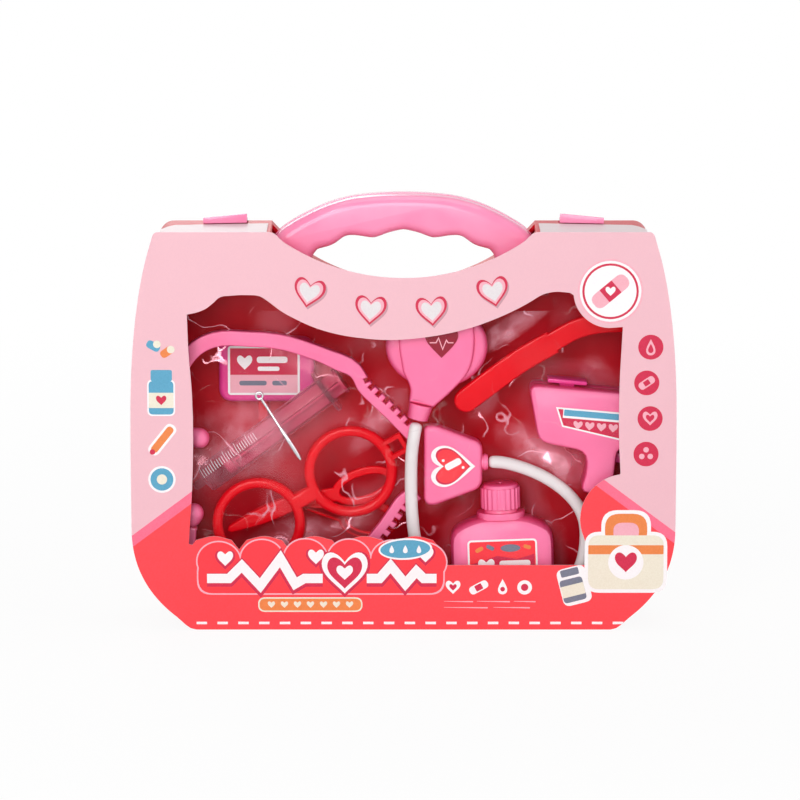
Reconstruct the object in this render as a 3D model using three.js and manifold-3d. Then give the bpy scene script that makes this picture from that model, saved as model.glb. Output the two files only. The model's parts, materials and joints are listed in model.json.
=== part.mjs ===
// Toy doctor case: a red carry case of two shells with a pink handle and latches, a printed card
// front with a die-cut window, a clear formed tray and the play instruments laid out in it.
// Millimetres. X runs to the right, Y to the back and Z up. The case stands on its base at Z = 0,
// and the middle of its depth is at Y = 0.

import * as THREE from 'three';
import { mergeVertices } from 'three/addons/utils/BufferGeometryUtils.js';
import Module from 'manifold-3d';

const wasm = await Module();
wasm.setup();

// General clearances and counts
const seat = 0.3; // between two pieces that touch
const overrun = 1; // how far a cut runs past a face
const weld = 0.0005; // corners closer than this are one corner
const arcSteps = 8;
const roundSteps = 2 * arcSteps;
const bevelSteps = 2;

// Case
const caseDepth = 55;
const baseHalf = 113;
const bellyHalf = 147.8;
const bellyLow = 56;
const cornerPull = 20.5;
const shoulderInset = 12.5;
const shoulderHeight = 219.4;
const bellyHighShare = 0.5105;
const shoulderPullShare = 0.8113;
const shoulderRound = 3.2;
const shellShoulderRound = 9;
const dipHalf = 72;
const cardDipDepth = 24.9;
const shellDipDrop = 9;
const shellWall = 1.8;
const shellRound = 4;
const partingY = 9;
const cardThickness = 0.6;
const cardOverhang = 0.9;
const cardLift = 0.4;
const sheetThickness = 0.5;
const sheetLap = 4;
const frameMargin = 3;

const shoulderHalf = bellyHalf - shoulderInset;
const bellyHigh = shoulderHeight * bellyHighShare;
const shoulderPull = shoulderHeight * shoulderPullShare;
const cardDipLow = shoulderHeight - cardDipDepth;
const shellDipLow = cardDipLow - shellDipDrop;
const frontY = -caseDepth / 2;
const backY = caseDepth / 2;
const shellFront = frontY + cardThickness + seat;
const lidBack = partingY - seat / 2;
const tubBack = backY - shellWall;
const shellTop = shoulderHeight - cardOverhang;

// Carry handle
const handleRise = 17.5; // over the shoulders
const handleFootDepth = 26.4; // under the shoulders
const handleOuterShares = [
  [1, 0.4328], [0.9352, 0.5559], [0.8113, 0.6902], [0.6085, 0.8521], [0.3915, 0.9547], [0.1592, 0.993],
  [0, 1],
];
const handleInnerShares = [
  [0, 0.5672], [0.0972, 0.5375], [0.1817, 0.4873], [0.2394, 0.4668], [0.3155, 0.4852], [0.3944, 0.4965],
  [0.4451, 0.483], [0.5, 0.4237], [0.5493, 0.3735], [0.6254, 0.3373], [0.6732, 0.3006],
];
const handleDepth = 24;
const handleEdge = 5;
const handleRootOut = 71;
const handleRootIn = 50;
const handleRootRise = 8;
const handleSlotGap = 0.5;
const screwX = 61;
const screwRise = 6;
const screwShank = 1.4;
const screwHead = 3;
const screwHeadDepth = 1.2;
const screwReach = 8;
const bossRadius = 4.2;
const handleHeight = shoulderHeight + handleRise;
const handleFootLow = shoulderHeight - handleFootDepth;
const screwZ = handleFootLow + screwRise;

// Base hinge
const hingeInset = 33;
const hingeX = baseHalf - hingeInset;
const hingeZ = 2.6;
const knuckleRadius = 2.2;
const knuckleLength = 14;
const knuckleOuterLength = 8;
const pinRadius = 0.8;
const boreGap = 0.3;
const grooveDepth = 3.2;

// Latches
const latchInset = 26.4;
const latchWidth = 23.8;
const latchOuter = shoulderHalf - latchInset;
const latchInner = latchOuter - latchWidth;
const latchFrontOuterY = 2.4;
const latchFrontInnerY = 5.6;
const latchPivotY = 18;
const latchPivotDepth = 2.4;
const latchPivotZ = shoulderHeight - latchPivotDepth;
const latchBarrel = 1.6;
const latchPinRadius = 0.7;
const latchPlate = 1.3;
const latchTabOuter = 3;
const latchTabInner = 4.8;
const latchTabThickness = 2.2;
const latchEar = 3;
const latchBoreReach = 2.1;
const latchSlotBack = 4.6;
const latchSlotFront = 3;

// Card flaps
const flapOuterInset = 4.3;
const flapInnerInset = 1.6;
const flapCornerY = -6;
const flapShoulderInset = 11.3;
const flapOuter = shoulderHalf - flapOuterInset;
const flapInner = dipHalf + flapInnerInset;
const flapShoulderX = shoulderHalf - flapShoulderInset;

// Formed tray
const trayWall = 1;
const trayGap = 1.6;
const trayFloorGap = 4;
const trayCrownDrop = 3;
const trayShoulderDepth = 12.4;
const trayStepGap = 6;
const trayCrown = shellDipLow - trayCrownDrop;
const trayShoulder = shoulderHeight - trayShoulderDepth;
const trayStepX = dipHalf + trayStepGap;
const trayFace = -9;
const recessDepth = 3;
const recessGap = 0.4;
const pocketGap = 0.8;
const trayBack = tubBack - seat;
const recessFloor = trayFace + recessDepth;
const toyBack = recessFloor - seat;

// Stethoscope
const yoke = { x: 27, z: 89.7, width: 32.2, height: 44.6 };
const headsetRise = 69;
const armWidth = 8.4;
const armDepth = 7;
const armEdge = 2;
const toothPitch = 5.6;
const toothGap = 2.4;
const toothDepth = 3;
const toothCount = 7;
const yokeDepth = 13;
const yokeEdge = 2.4;
const tubeRadius = 3.5;
const tubeSides = 8;
const tubeSteps = 60;
const collarRadius = 4.2;
const collarLength = 3;
const tipRadius = 5.8;
const tipLength = 13;
const upperTipTurn = -0.42;
const lowerTipTurn = 1.36;
const stickerThickness = 0.3;
const yokeHeart = { x: yoke.x, z: yoke.z, width: 23, height: 24 };
const chestFront = -21;
const chestEdge = 4;
const chestHead = { x: 18, z: 155, halfWidth: 28.5, halfHeight: 24 };
const heartAcrossShare = 0.09;
const heartUpShare = 0.15;
const chestHeart = {
  x: chestHead.x + chestHead.halfWidth * heartAcrossShare,
  z: chestHead.z + chestHead.halfHeight * heartUpShare,
  width: 18,
  height: 17.5,
};
const diaphragmRadius = 19;
const diaphragmThickness = 1.2;
const chestCollarRadius = 6.5;
const chestCollarLength = 8.5;
const chestCollar = { x: 8.6, y: -16.4, z: 119.4 };
const chestTilt = 1.34;
const neckLeftShares = [[-0.7, 0.55], [-0.72, 0.1], [-0.64, -0.55], [-0.5, -0.95]];
const neckRightShares = [[0.32, -0.95], [0.6, -0.55], [0.72, 0.1], [0.7, 0.55]];

// Play glasses
const glasses = { x: -54, z: 70.4, turn: 0.522 };
const ringSpacing = 58;
const ringOuter = 25.4;
const ringInner = 19.7;
const glassesDepth = 6;
const glassesEdge = 1.6;
const bridgeHeight = 9;
const lugSize = 11.9;
const lugHole = 6;
const lugReach = 28.4;

// Scissors
const scissors = { x: -58, z: 67.2, bladeTurn: 0.407 };
const scissorsSheet = 3;
const scissorsFront = trayFace + recessDepth + trayWall + seat;
const bladeLength = 40;
const bladeWide = 22;
const bladeRoot = 9;
const bladeTip = 4;
const shankWidth = 8;
const shankReachShare = 0.8;
const loopRim = 4.6;
const upperLoop = { x: 36, z: 8.5, long: 18, short: 10, turn: 0.33 };
const lowerLoop = { x: 38.5, z: -11, long: 16.5, short: 11.5, turn: -0.14 };
const rivetRadius = 2.2;

// Syringe
const syringe = { x: -108.9, y: 3.4, z: 77.6, turn: 0.64 };
const barrelRadius = 8;
const barrelWall = 1;
const barrelLength = 87;
const nozzleRadius = 2.4;
const nozzleBore = 0.9;
const nozzleLength = 7;
const flangeHalf = 13;
const flangeThickness = 2.5;
const flangeDepthHalf = 7.9;
const plungerInset = 14;
const plungerStand = 5;
const plungerRib = 1.3;
const thumbRadius = 7.7;
const thumbThickness = 2;
const sealThickness = 5;
const sealGap = 0.3;

// Thermometer gun, in its own frame: u along the barrel from its rear top corner, w up
const gun = { x: 67.8, z: 134.7, turn: -0.0873 };
const gunFront = -21;
const gunBack = 3;
const gunWall = 2;
const gunEdge = 2.4;
const gunCorner = 5.5;
const gunLength = 72;
const gunHeight = 31;
const noseDrop = 4;
const noseHeight = 24;
const gripLeft = 36;
const gripRight = 51;
const gripLow = 57;
const noseUnder = 60;
const triggerWidth = 6;
const triggerTop = 33;
const triggerLow = 43;
const triggerReach = 6.5;
const triggerTravel = 3;
const stemTop = 35;
const stemLow = 40;
const stemInside = 3;
const slideGap = 0.3;
const buttonStart = 10.3;
const buttonEnd = 31.9;
const buttonRaise = 1.5;
const buttonThickness = 2.1;
const buttonRound = 1.5;
const buttonMiddle = (buttonStart + buttonEnd) / 2;
const buttonStemHalf = 4;
const buttonStemDepth = 6;
const lensRadius = 6;
const lensThickness = 1.6;
const gunStickerShares = [[0.22, -0.34], [0.28, -0.68], [0.8, -0.86], [0.86, -0.34]];
const gunMiddle = (gunFront + gunBack) / 2;
const lensMiddle = -(noseDrop + noseHeight) / 2;
const lensBoreHalf = 1.2 * gunWall;

// Medicine bottle, in its own frame: u across, w up from its base
const bottle = { x: 54.8, z: 19.4, turn: 0.035 };
const bottleHalf = 28;
const bottleShoulder = 41;
const bottleFront = -21;
const bottleBack = 3;
const bottleEdge = 5;
const shoulderDrop = 7;
const neckRadius = 9.6;
const neckHeight = 1.6;
const ringRadius = 13.2;
const ringHeight = 2.6;
const ringFlatShare = 0.87;
const capRadius = 10.8;
const capHeight = 13.5;
const capTopRound = 2;
const capRibs = 22;
const capRibDepth = 0.5;
const ventRadius = 1;
const ventDepth = 2;
const bottleLabelHalf = 19;
const bottleLabelTop = 30;
const bottleLabelLow = 5;
const bottleMiddle = (bottleFront + bottleBack) / 2;

// Spatula
const spatulaThickness = 3.4;
const spatulaWidth = 13.3;
const spatulaGripWidth = 11;
const spatulaEdge = 1;

// Gauge: the pink box with a red stem
const gaugeLeft = -101.4;
const gaugeRight = -48.9;
const gaugeLow = 119.2;
const gaugeHigh = 154.5;
const gaugeFront = 13.2;
const gaugeRound = 8;
const gaugeEdge = 3;
const gaugeLabelSide = 5;
const gaugeLabelMargin = 4;
const stemWidth = 5.6;
const stemThickness = 5;
const stemX = -77.5;
const stemEnd = 92;

// Probe
const probeRadius = 1.15;
const probeThin = 0.75;
const probeEye = 2.3;
const probeStart = { x: -78.6, z: 126.5 };
const probeEnd = { x: -56.1, z: 91.1 };

// Outlines as shares of the case's half width and shoulder height
const windowTopShares = [
  [-0.79, 0.796], [-0.744, 0.803], [-0.708, 0.816], [-0.673, 0.837], [-0.645, 0.842], [-0.547, 0.844],
  [-0.507, 0.835], [-0.455, 0.808], [-0.386, 0.782], [-0.302, 0.758], [-0.196, 0.741], [-0.057, 0.7325],
  [0.053, 0.737], [0.1935, 0.753], [0.305, 0.777], [0.404, 0.806], [0.474, 0.832], [0.528, 0.851],
  [0.597, 0.851], [0.617, 0.845],
];
const windowLeftShares = [[-0.79, 0.22], [-0.776, 0.36], [-0.774, 0.6], [-0.785, 0.7]];
const windowRightShares = [[0.8, 0.765], [0.79, 0.62], [0.79, 0.48], [0.796, 0.4]];
const badgeInset = 36.4;
const badgeDepth = 32.1;
const lowerBadgeInset = 26.8;
const windowInset = 31;
const badge = { x: bellyHalf - badgeInset, z: shoulderHeight - badgeDepth, radius: 20, end: 5.09 };
const lowerBadge = { x: bellyHalf - lowerBadgeInset, z: 62, radius: 25, start: 1.71, end: 3.52 };
const windowLeft = bellyHalf - windowInset;
const sillHeight = 36.4;
const scallopEndX = 20;
const scallopValley = 45;
const scallopRise = 7.5;
const scallopCount = 5;

// Points of the headset's arms, as shares of the case's half width and of the headset's rise over
// the middle of the yoke, and of the yoke, as shares of its width and height
const upperArmShares = [
  [0.045, 0.2104], [0, 0.3121], [-0.055, 0.4329], [-0.105, 0.5347], [-0.143, 0.6205], [-0.168, 0.7287],
  [-0.222, 0.7891], [-0.312, 0.8813], [-0.44, 0.9703], [-0.55, 0.9958], [-0.64, 0.9926],
  [-0.722, 0.9767], [-0.797, 0.8431], [-0.842, 0.6301], [-0.848, 0.417], [-0.827, 0.285], [-0.762, 0.2145],
];
const lowerArmShares = [
  [0.05, -0.2348], [0, -0.3079], [-0.06, -0.4955], [-0.12, -0.6545], [-0.2, -0.8071], [-0.32, -0.9248],
  [-0.46, -0.9947], [-0.6, -1.0138], [-0.72, -0.9661], [-0.79, -0.8071], [-0.797, -0.5846],
  [-0.778, -0.4232],
];
const yokeShares = [
  [-0.4438, -0.4912], [-0.3107, -0.501], [0.4132, -0.3042], [0.5, -0.2157], [0.5, 0.2241],
  [0.4375, 0.2984], [-0.2831, 0.4976], [-0.4415, 0.4976], [-0.4965, 0.4484], [-0.4965, -0.4272],
];

// Points of the spatula, as shares of the case's half width and shoulder height
const spatulaShares = [
  [0.232, 0.5665], [0.34, 0.622], [0.45, 0.6745], [0.55, 0.713],
];
const spatulaGripShares = [[0.55, 0.713], [0.632, 0.7445], [0.72, 0.7595], [0.84, 0.763]];

// Route of the stethoscope's tube, held all the way, from the yoke round to the chest piece
const tubeRoute = [
  [46.2, -13.5, 90.9], [51, -13.5, 91], [57, -13.5, 90.1], [71.1, -13.5, 85.4], [83, -13.5, 78.8],
  [92.5, -13.5, 70.3], [98.1, -13.5, 61], [99.7, -13.5, 48.3], [97, -13.5, 33], [89, -13.5, 20.5],
  [75, -13.5, 13.4], [55, -13.5, 12], [35, -13.5, 12.6], [20, -13.5, 19], [10.5, -13.5, 32],
  [6.4, -15.6, 48], [4.6, -17.4, 64], [4.1, -17.4, 81], [4.5, -17.4, 96], [6, -17.3, 107.5],
  [7.2, -16.5, 113.4],
];

// Control points of a heart's half outline, as shares of its half width and height
const heartLowShares = [[0.55, -0.2], [1.1, 0.02], [0.98, 0.28]];
const heartHighShares = [[0.85, 0.56], [0.2, 0.58], [0, 0.3]];

// Colours
const red = 0xd8102c;
const deepRed = 0xb01030;
const pink = 0xff7fb4;
const palePink = 0xff9ac4;
const cardPink = 0xf0bcc6;
const clearWhite = 0xffffff;
const clearPink = 0xf4dce2;
const trayTint = 0xf6e6ea;
const paper = 0xf3ecef;
const vinyl = 0xe6e0e0;
const lensBlack = 0x303038;
const zinc = 0xb8bcc2;
const chrome = 0xc8c8cc;

const part = new THREE.Group();

// Flat outlines are lists of points: x across, y up

function point(x, y) {
  return new THREE.Vector2(x, y);
}

function fromShares(shares) {
  return shares.map(([x, z]) => point(x * bellyHalf, z * shoulderHeight));
}

function distinct(points) {
  return points.filter((p, i) => p.distanceTo(points[(i + 1) % points.length]) > weld);
}

function inset(points, distance) {
  return points.map((p, i) => {
    const before = points[(i + points.length - 1) % points.length];
    const after = points[(i + 1) % points.length];
    const a = p.clone().sub(before).normalize();
    const b = after.clone().sub(p).normalize();
    const inward = point(-(a.y + b.y), a.x + b.x).normalize();
    const lean = Math.max(inward.dot(point(-a.y, a.x)), Math.SQRT1_2);
    return p.clone().addScaledVector(inward, distance / lean);
  });
}

function placed(points, at) {
  return points.map((p) => p.clone().rotateAround(point(0, 0), at.turn || 0).add(point(at.x, at.z)));
}

function arc(x, y, radiusX, radiusY, from, to, steps) {
  const curve = new THREE.EllipseCurve(x, y, radiusX, radiusY, from, to, to < from, 0);
  return curve.getPoints(steps);
}

function circle(x, y, radius, steps = roundSteps) {
  return distinct(arc(x, y, radius, radius, 0, 2 * Math.PI, steps));
}

function rectangle(left, low, right, high) {
  return [point(left, low), point(right, low), point(right, high), point(left, high)];
}

function roundedCorners(points, radius, steps = 3) {
  const list = [];
  points.forEach((p, i) => {
    const before = points[(i + points.length - 1) % points.length];
    const after = points[(i + 1) % points.length];
    const r = Math.min(radius, p.distanceTo(before) / 2, p.distanceTo(after) / 2);
    const start = p.clone().add(before.clone().sub(p).setLength(r));
    const end = p.clone().add(after.clone().sub(p).setLength(r));
    list.push(...new THREE.QuadraticBezierCurve(start, p, end).getPoints(steps));
  });
  return distinct(list);
}

function heart(at, steps = 6) {
  const half = at.width / 2;
  const curve = new THREE.Path();
  curve.moveTo(0, -at.height / 2);
  const bend = (shares) => curve.bezierCurveTo(...shares.flatMap(([u, w]) => [u * half, w * at.height]));
  bend(heartLowShares);
  bend(heartHighShares);
  const right = curve.getPoints(steps);
  const left = right.slice(1, -1).reverse().map((p) => point(-p.x, p.y));
  return placed(distinct([...right, ...left]), at);
}

function ribbon(points, width, steps) {
  const curve = new THREE.SplineCurve(points);
  const left = [];
  const right = [];
  for (let i = 0; i <= steps; i += 1) {
    const p = curve.getPointAt(i / steps);
    const t = curve.getTangentAt(i / steps);
    left.push(point(p.x - t.y * width / 2, p.y + t.x * width / 2));
    right.push(point(p.x + t.y * width / 2, p.y - t.x * width / 2));
  }
  return distinct([...right, ...left.reverse()]);
}

// Solids

function solid(geometry) {
  const bare = geometry.index ? geometry.toNonIndexed() : geometry.clone();
  bare.deleteAttribute('normal');
  bare.deleteAttribute('uv');
  const merged = mergeVertices(bare, weld);
  const triangles = [];
  for (let i = 0; i < merged.index.count; i += 3) {
    const [a, b, c] = [0, 1, 2].map((k) => merged.index.getX(i + k));
    if (a !== b && b !== c && c !== a) triangles.push(a, b, c);
  }
  const make = (list) => new wasm.Manifold(new wasm.Mesh({
    numProp: 3,
    vertProperties: new Float32Array(merged.attributes.position.array),
    triVerts: new Uint32Array(list),
  }));
  const first = make(triangles);
  if (first.volume() > 0) return first;
  const turned = [];
  for (let i = 0; i < triangles.length; i += 3) {
    turned.push(triangles[i], triangles[i + 2], triangles[i + 1]);
  }
  return make(turned);
}

function join(first, ...others) {
  return others.reduce((sum, next) => sum.add(next), first);
}

function cut(first, ...others) {
  return others.reduce((rest, next) => rest.subtract(next), first);
}

function plate(points, front, back, { round = 0, holes = [] } = {}) {
  const shape = new THREE.Shape(points);
  shape.holes = holes.map((hole) => new THREE.Path(hole));
  const geometry = new THREE.ExtrudeGeometry(shape, {
    depth: back - front - 2 * round,
    bevelEnabled: round > 0,
    bevelThickness: round,
    bevelSize: round,
    bevelOffset: -round,
    bevelSegments: bevelSteps,
  });
  return solid(geometry.rotateX(Math.PI / 2).translate(0, back - round, 0));
}

function slab(points, low, high) {
  const shape = new THREE.Shape(points);
  const geometry = new THREE.ExtrudeGeometry(shape, { depth: high - low, bevelEnabled: false });
  return solid(geometry.translate(0, 0, low));
}

function block(left, front, low, right, back, high) {
  const box = new THREE.BoxGeometry(right - left, back - front, high - low);
  return solid(box.translate((left + right) / 2, (front + back) / 2, (low + high) / 2));
}

// A turned piece: profile points are radius and height along an axis that lies in the XZ plane
// at the given turn from +X
function turnedPiece(profile, at, turn, sides = roundSteps, depthShare = 1) {
  const lathe = new THREE.LatheGeometry(profile.map(([r, h]) => point(r, h)), sides);
  lathe.scale(1, 1, depthShare);
  return solid(lathe.rotateX(Math.PI / 2).rotateY(Math.PI / 2 - turn).translate(at.x, at.y, at.z));
}

// Profile of a plain disc or rod between two heights
function drum(radius, low, high) {
  return [[0, low], [radius, low], [radius, high], [0, high]];
}

function rodX(radius, from, to, y, z, sides = arcSteps) {
  return turnedPiece(drum(radius, 0, to - from), { x: from, y, z }, 0, sides);
}

function rodY(radius, from, to, x, z, sides = arcSteps) {
  return plate(circle(x, z, radius, sides), from, to);
}

function add(name, body, color, { roughness = 0.35, metalness = 0, opacity = 1 } = {}) {
  const mesh = body.getMesh();
  const corners = new Float32Array(mesh.vertProperties);
  const geometry = new THREE.BufferGeometry();
  geometry.setAttribute('position', new THREE.BufferAttribute(corners, 3));
  geometry.setIndex(new THREE.BufferAttribute(new Uint32Array(mesh.triVerts), 1));
  geometry.computeVertexNormals();
  const material = new THREE.MeshStandardMaterial({
    color, roughness, metalness, opacity, transparent: opacity < 1,
  });
  const piece = new THREE.Mesh(geometry, material);
  piece.name = name;
  part.add(piece);
}

// Case outline: flat base, cut corners, bellied sides, square shoulders and a dip for the hand

function caseOutline(dipLow, margin, base, round) {
  const shape = new THREE.Path();
  const top = shoulderHeight - margin;
  const sag = top - dipLow;
  const dipRadius = (dipHalf ** 2 + sag ** 2) / (2 * sag);
  const dipAngle = Math.asin(dipHalf / dipRadius);
  const belly = bellyHalf - margin;
  const shoulder = shoulderHalf - margin;
  shape.moveTo(0, base);
  shape.lineTo(baseHalf - margin, base);
  shape.quadraticCurveTo(belly, cornerPull, belly, bellyLow);
  shape.lineTo(belly, bellyHigh);
  shape.quadraticCurveTo(belly, shoulderPull, shoulder, top - round);
  shape.quadraticCurveTo(shoulder - round / 4, top, shoulder - round, top);
  shape.lineTo(dipHalf, top);
  const right = shape.getPoints(arcSteps * 0.75);
  const down = -Math.PI / 2;
  const dip = arc(0, dipLow + dipRadius, dipRadius, dipRadius, down + dipAngle, down, arcSteps);
  const half = distinct([...right, ...dip.slice(1)]).slice(1, -1);
  const mirrored = half.map((p) => point(-p.x, p.y)).reverse();
  return [...half, dip[dip.length - 1], ...mirrored];
}

function windowOutline() {
  const top = new THREE.SplineCurve(fromShares(windowTopShares)).getPoints(arcSteps * 3);
  const bite = (disc, from, to) => arc(disc.x, disc.z, disc.radius, disc.radius, from, to, arcSteps);
  const badgeStart = Math.atan2(top[top.length - 1].y - badge.z, -badge.radius);
  const upper = bite(badge, badgeStart + 2 * Math.PI, badge.end);
  const lower = bite(lowerBadge, lowerBadge.start, Math.PI);
  const under = bite(lowerBadge, Math.PI, lowerBadge.end);
  const scallops = [];
  const pitch = (scallopEndX + windowLeft) / scallopCount;
  for (let i = 0; i < scallopCount; i += 1) {
    const middle = scallopEndX - pitch * (i + 0.5);
    scallops.push(...arc(middle, scallopValley, pitch / 2, scallopRise, 0, Math.PI, arcSteps / 2));
  }
  const sill = [point(lowerBadge.x - lowerBadge.radius * 0.7, sillHeight), point(scallopEndX, sillHeight)];
  const clockwise = [
    ...top, ...upper, ...fromShares(windowRightShares), ...lower, ...under, ...sill, ...scallops,
    ...fromShares(windowLeftShares),
  ];
  return distinct(clockwise).reverse();
}

const cardOutline = caseOutline(cardDipLow, 0, cardLift, shoulderRound);
const shellOutline = caseOutline(shellDipLow, cardOverhang, 0, shellShoulderRound);
const windowShape = windowOutline();

function latchRange(side) {
  return side < 0 ? [-latchOuter, -latchInner] : [latchInner, latchOuter];
}

function handleSlots(front, back) {
  return [-1, 1].map((side) => {
    const ends = [side * (handleRootIn - handleSlotGap), side * (handleRootOut + handleSlotGap)];
    const [left, right] = ends.sort((a, b) => a - b);
    return block(left, front, handleFootLow - overrun, right, back, shoulderHeight + overrun);
  });
}

// Front shell: the lid. Its base edge is cut back at the tub's hinge knuckles.
function frontShell() {
  const outer = plate(shellOutline, shellFront, lidBack);
  const hollow = plate(inset(shellOutline, shellWall), shellFront + shellWall, lidBack + overrun);
  const opening = plate(
    inset(windowShape, -frameMargin), shellFront - overrun, shellFront + shellWall + overrun);
  const slots = handleSlots(-handleDepth / 2 - handleSlotGap, lidBack + overrun);
  let body = cut(outer, hollow, opening, ...slots);
  for (const side of [-1, 1]) {
    const x = side * hingeX;
    const half = knuckleLength / 2;
    for (const end of [-1, 1]) {
      const inner = x + end * (half + seat / 2);
      const outerEnd = x + end * (half + knuckleOuterLength + seat * 2);
      const [low, high] = [Math.min(inner, outerEnd), Math.max(inner, outerEnd)];
      const front = partingY - grooveDepth;
      body = cut(body, block(low, front, -overrun, high, lidBack + overrun, shellWall + overrun));
    }
    const web = block(x - half, partingY - grooveDepth, 0, x + half, partingY, hingeZ);
    body = join(body, rodX(knuckleRadius, x - half, x + half, partingY, hingeZ), web);
    body = cut(body, rodX(pinRadius + boreGap, x - half - overrun, x + half + overrun, partingY, hingeZ));
  }
  return body;
}

// Rear shell: the tub, with handle screw bosses, latch seats and the outer hinge knuckles
function rearShell() {
  const start = partingY + seat / 2;
  const whole = plate(shellOutline, start - 2 * shellRound, backY, { round: shellRound });
  const across = bellyHalf + overrun;
  const front = block(-across, start - 4 * shellRound, -overrun, across, start, handleHeight);
  const hollow = plate(inset(shellOutline, shellWall), start - overrun, tubBack);
  const slots = handleSlots(start - overrun, handleDepth / 2 + handleSlotGap);
  const groove = block(-baseHalf - grooveDepth, start - overrun, -overrun,
    baseHalf + grooveDepth, partingY + grooveDepth, hingeZ + knuckleRadius);
  let body = cut(whole, front, hollow, groove, ...slots);
  for (const side of [-1, 1]) {
    const x = side * screwX;
    body = join(body, rodY(bossRadius, handleDepth / 2 + seat, tubBack + seat, x, screwZ));
    body = cut(body, rodY(screwShank + boreGap, 0, backY + overrun, x, screwZ));
    body = cut(body, rodY(screwHead + boreGap, backY - screwHeadDepth, backY + overrun, x, screwZ));
    body = hingeEars(body, side * hingeX);
    body = latchSeat(body, side);
  }
  return body;
}

function hingeEars(body, x) {
  for (const end of [-1, 1]) {
    const near = x + end * (knuckleLength / 2 + seat);
    const far = near + end * knuckleOuterLength;
    const [low, high] = [Math.min(near, far), Math.max(near, far)];
    const web = block(low, partingY, 0, high, partingY + grooveDepth + overrun, hingeZ);
    const ear = join(rodX(knuckleRadius, low, high, partingY, hingeZ), web);
    const bore = rodX(pinRadius + boreGap, low - overrun, high + overrun, partingY, hingeZ);
    body = cut(join(body, ear), bore);
  }
  return body;
}

function latchSeat(body, side) {
  const [left, right] = latchRange(side);
  const slot = block(left - seat, latchPivotY - latchSlotFront, latchPivotZ - latchEar,
    right + seat, latchPivotY + latchSlotBack, shoulderHeight + overrun);
  const ears = [left - seat - latchEar, right + seat].map((x) => block(
    x, latchPivotY - latchEar, latchPivotZ - latchEar,
    x + latchEar, latchPivotY + latchEar, shellTop - shellWall / 2));
  const bore = rodX(
    latchPinRadius + boreGap, left - latchBoreReach, right + latchBoreReach, latchPivotY, latchPivotZ);
  return cut(join(cut(body, slot), ...ears), bore);
}

// Y of the slanting line on which the latches' tabs and the card's flaps meet
function latchLine(x) {
  const [outer, inner] = [latchFrontOuterY, latchFrontInnerY];
  return THREE.MathUtils.mapLinear(Math.abs(x), latchOuter, latchInner, outer, inner);
}

// A latch arm with an upright tab at its front, lower at its outer end
function latch(side) {
  const [left, right] = latchRange(side);
  const low = shoulderHeight + seat;
  const front = [point(left, latchLine(left)), point(right, latchLine(right))];
  const arm = slab([...front, point(right, latchPivotY), point(left, latchPivotY)], low, low + latchPlate);
  const back = front.map((p) => point(p.x, p.y + latchTabThickness)).reverse();
  const tallest = low + latchTabInner;
  const tab = slab([...front, ...back], low, tallest);
  const [outerX, innerX] = side < 0 ? [left, right] : [right, left];
  const wedge = plate([
    point(outerX + side * overrun, low + latchTabOuter), point(innerX + side * latchTabInner / 2, tallest),
    point(innerX - side * overrun, tallest), point(innerX - side * overrun, tallest + overrun),
    point(outerX + side * overrun, tallest + overrun),
  ], 0, latchPivotY);
  const barrel = rodX(latchBarrel, left, right, latchPivotY, latchPivotZ);
  const neck = block(left, latchPivotY - latchBarrel, latchPivotZ, right, latchPivotY, low + latchPlate);
  const bore = rodX(latchPinRadius + boreGap, left - overrun, right + overrun, latchPivotY, latchPivotZ);
  return cut(join(cut(tab, wedge), arm, barrel, neck), bore);
}

// Carry handle: an arch with finger hollows under the grip and square feet in the case
function carryHandle() {
  const arch = handleHeight - handleFootLow;
  const fromTable = (shares) => (
    shares.map(([x, z]) => point(x * handleRootOut, handleFootLow + z * arch)));
  const outside = new THREE.SplineCurve(fromTable(handleOuterShares)).getPoints(arcSteps + 4);
  const inside = new THREE.SplineCurve(
    [...fromTable(handleInnerShares), point(handleRootIn, handleFootLow + handleRootRise)],
  ).getPoints(roundSteps);
  const foot = [point(handleRootIn, handleFootLow), point(handleRootOut, handleFootLow)];
  const right = [...inside, ...foot, ...outside];
  const left = right.slice(1, -1).reverse().map((p) => point(-p.x, p.y));
  const outline = distinct([...right, ...left]);
  let body = plate(outline, -handleDepth / 2, handleDepth / 2, { round: handleEdge });
  for (const side of [-1, 1]) {
    const end = handleDepth / 2 - screwReach - overrun;
    body = cut(body, rodY(screwShank + boreGap, end, handleDepth, side * screwX, screwZ));
  }
  return body;
}

function frontCard() {
  let body = plate(cardOutline, frontY, frontY + cardThickness, { holes: [windowShape] });
  const reach = (x) => latchLine(x) - 2 * seat;
  for (const side of [-1, 1]) {
    const flap = [
      point(flapOuter, frontY), point(flapOuter, (frontY + flapCornerY) / 2),
      point((flapOuter + flapShoulderX) / 2, flapCornerY), point(flapShoulderX, reach(flapShoulderX)),
      point(flapInner, reach(flapInner)), point(flapInner, frontY),
    ].map((p) => point(side * p.x, p.y));
    if (side > 0) flap.reverse();
    body = join(body, slab(flap, shoulderHeight - cardThickness, shoulderHeight));
  }
  return body;
}

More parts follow.
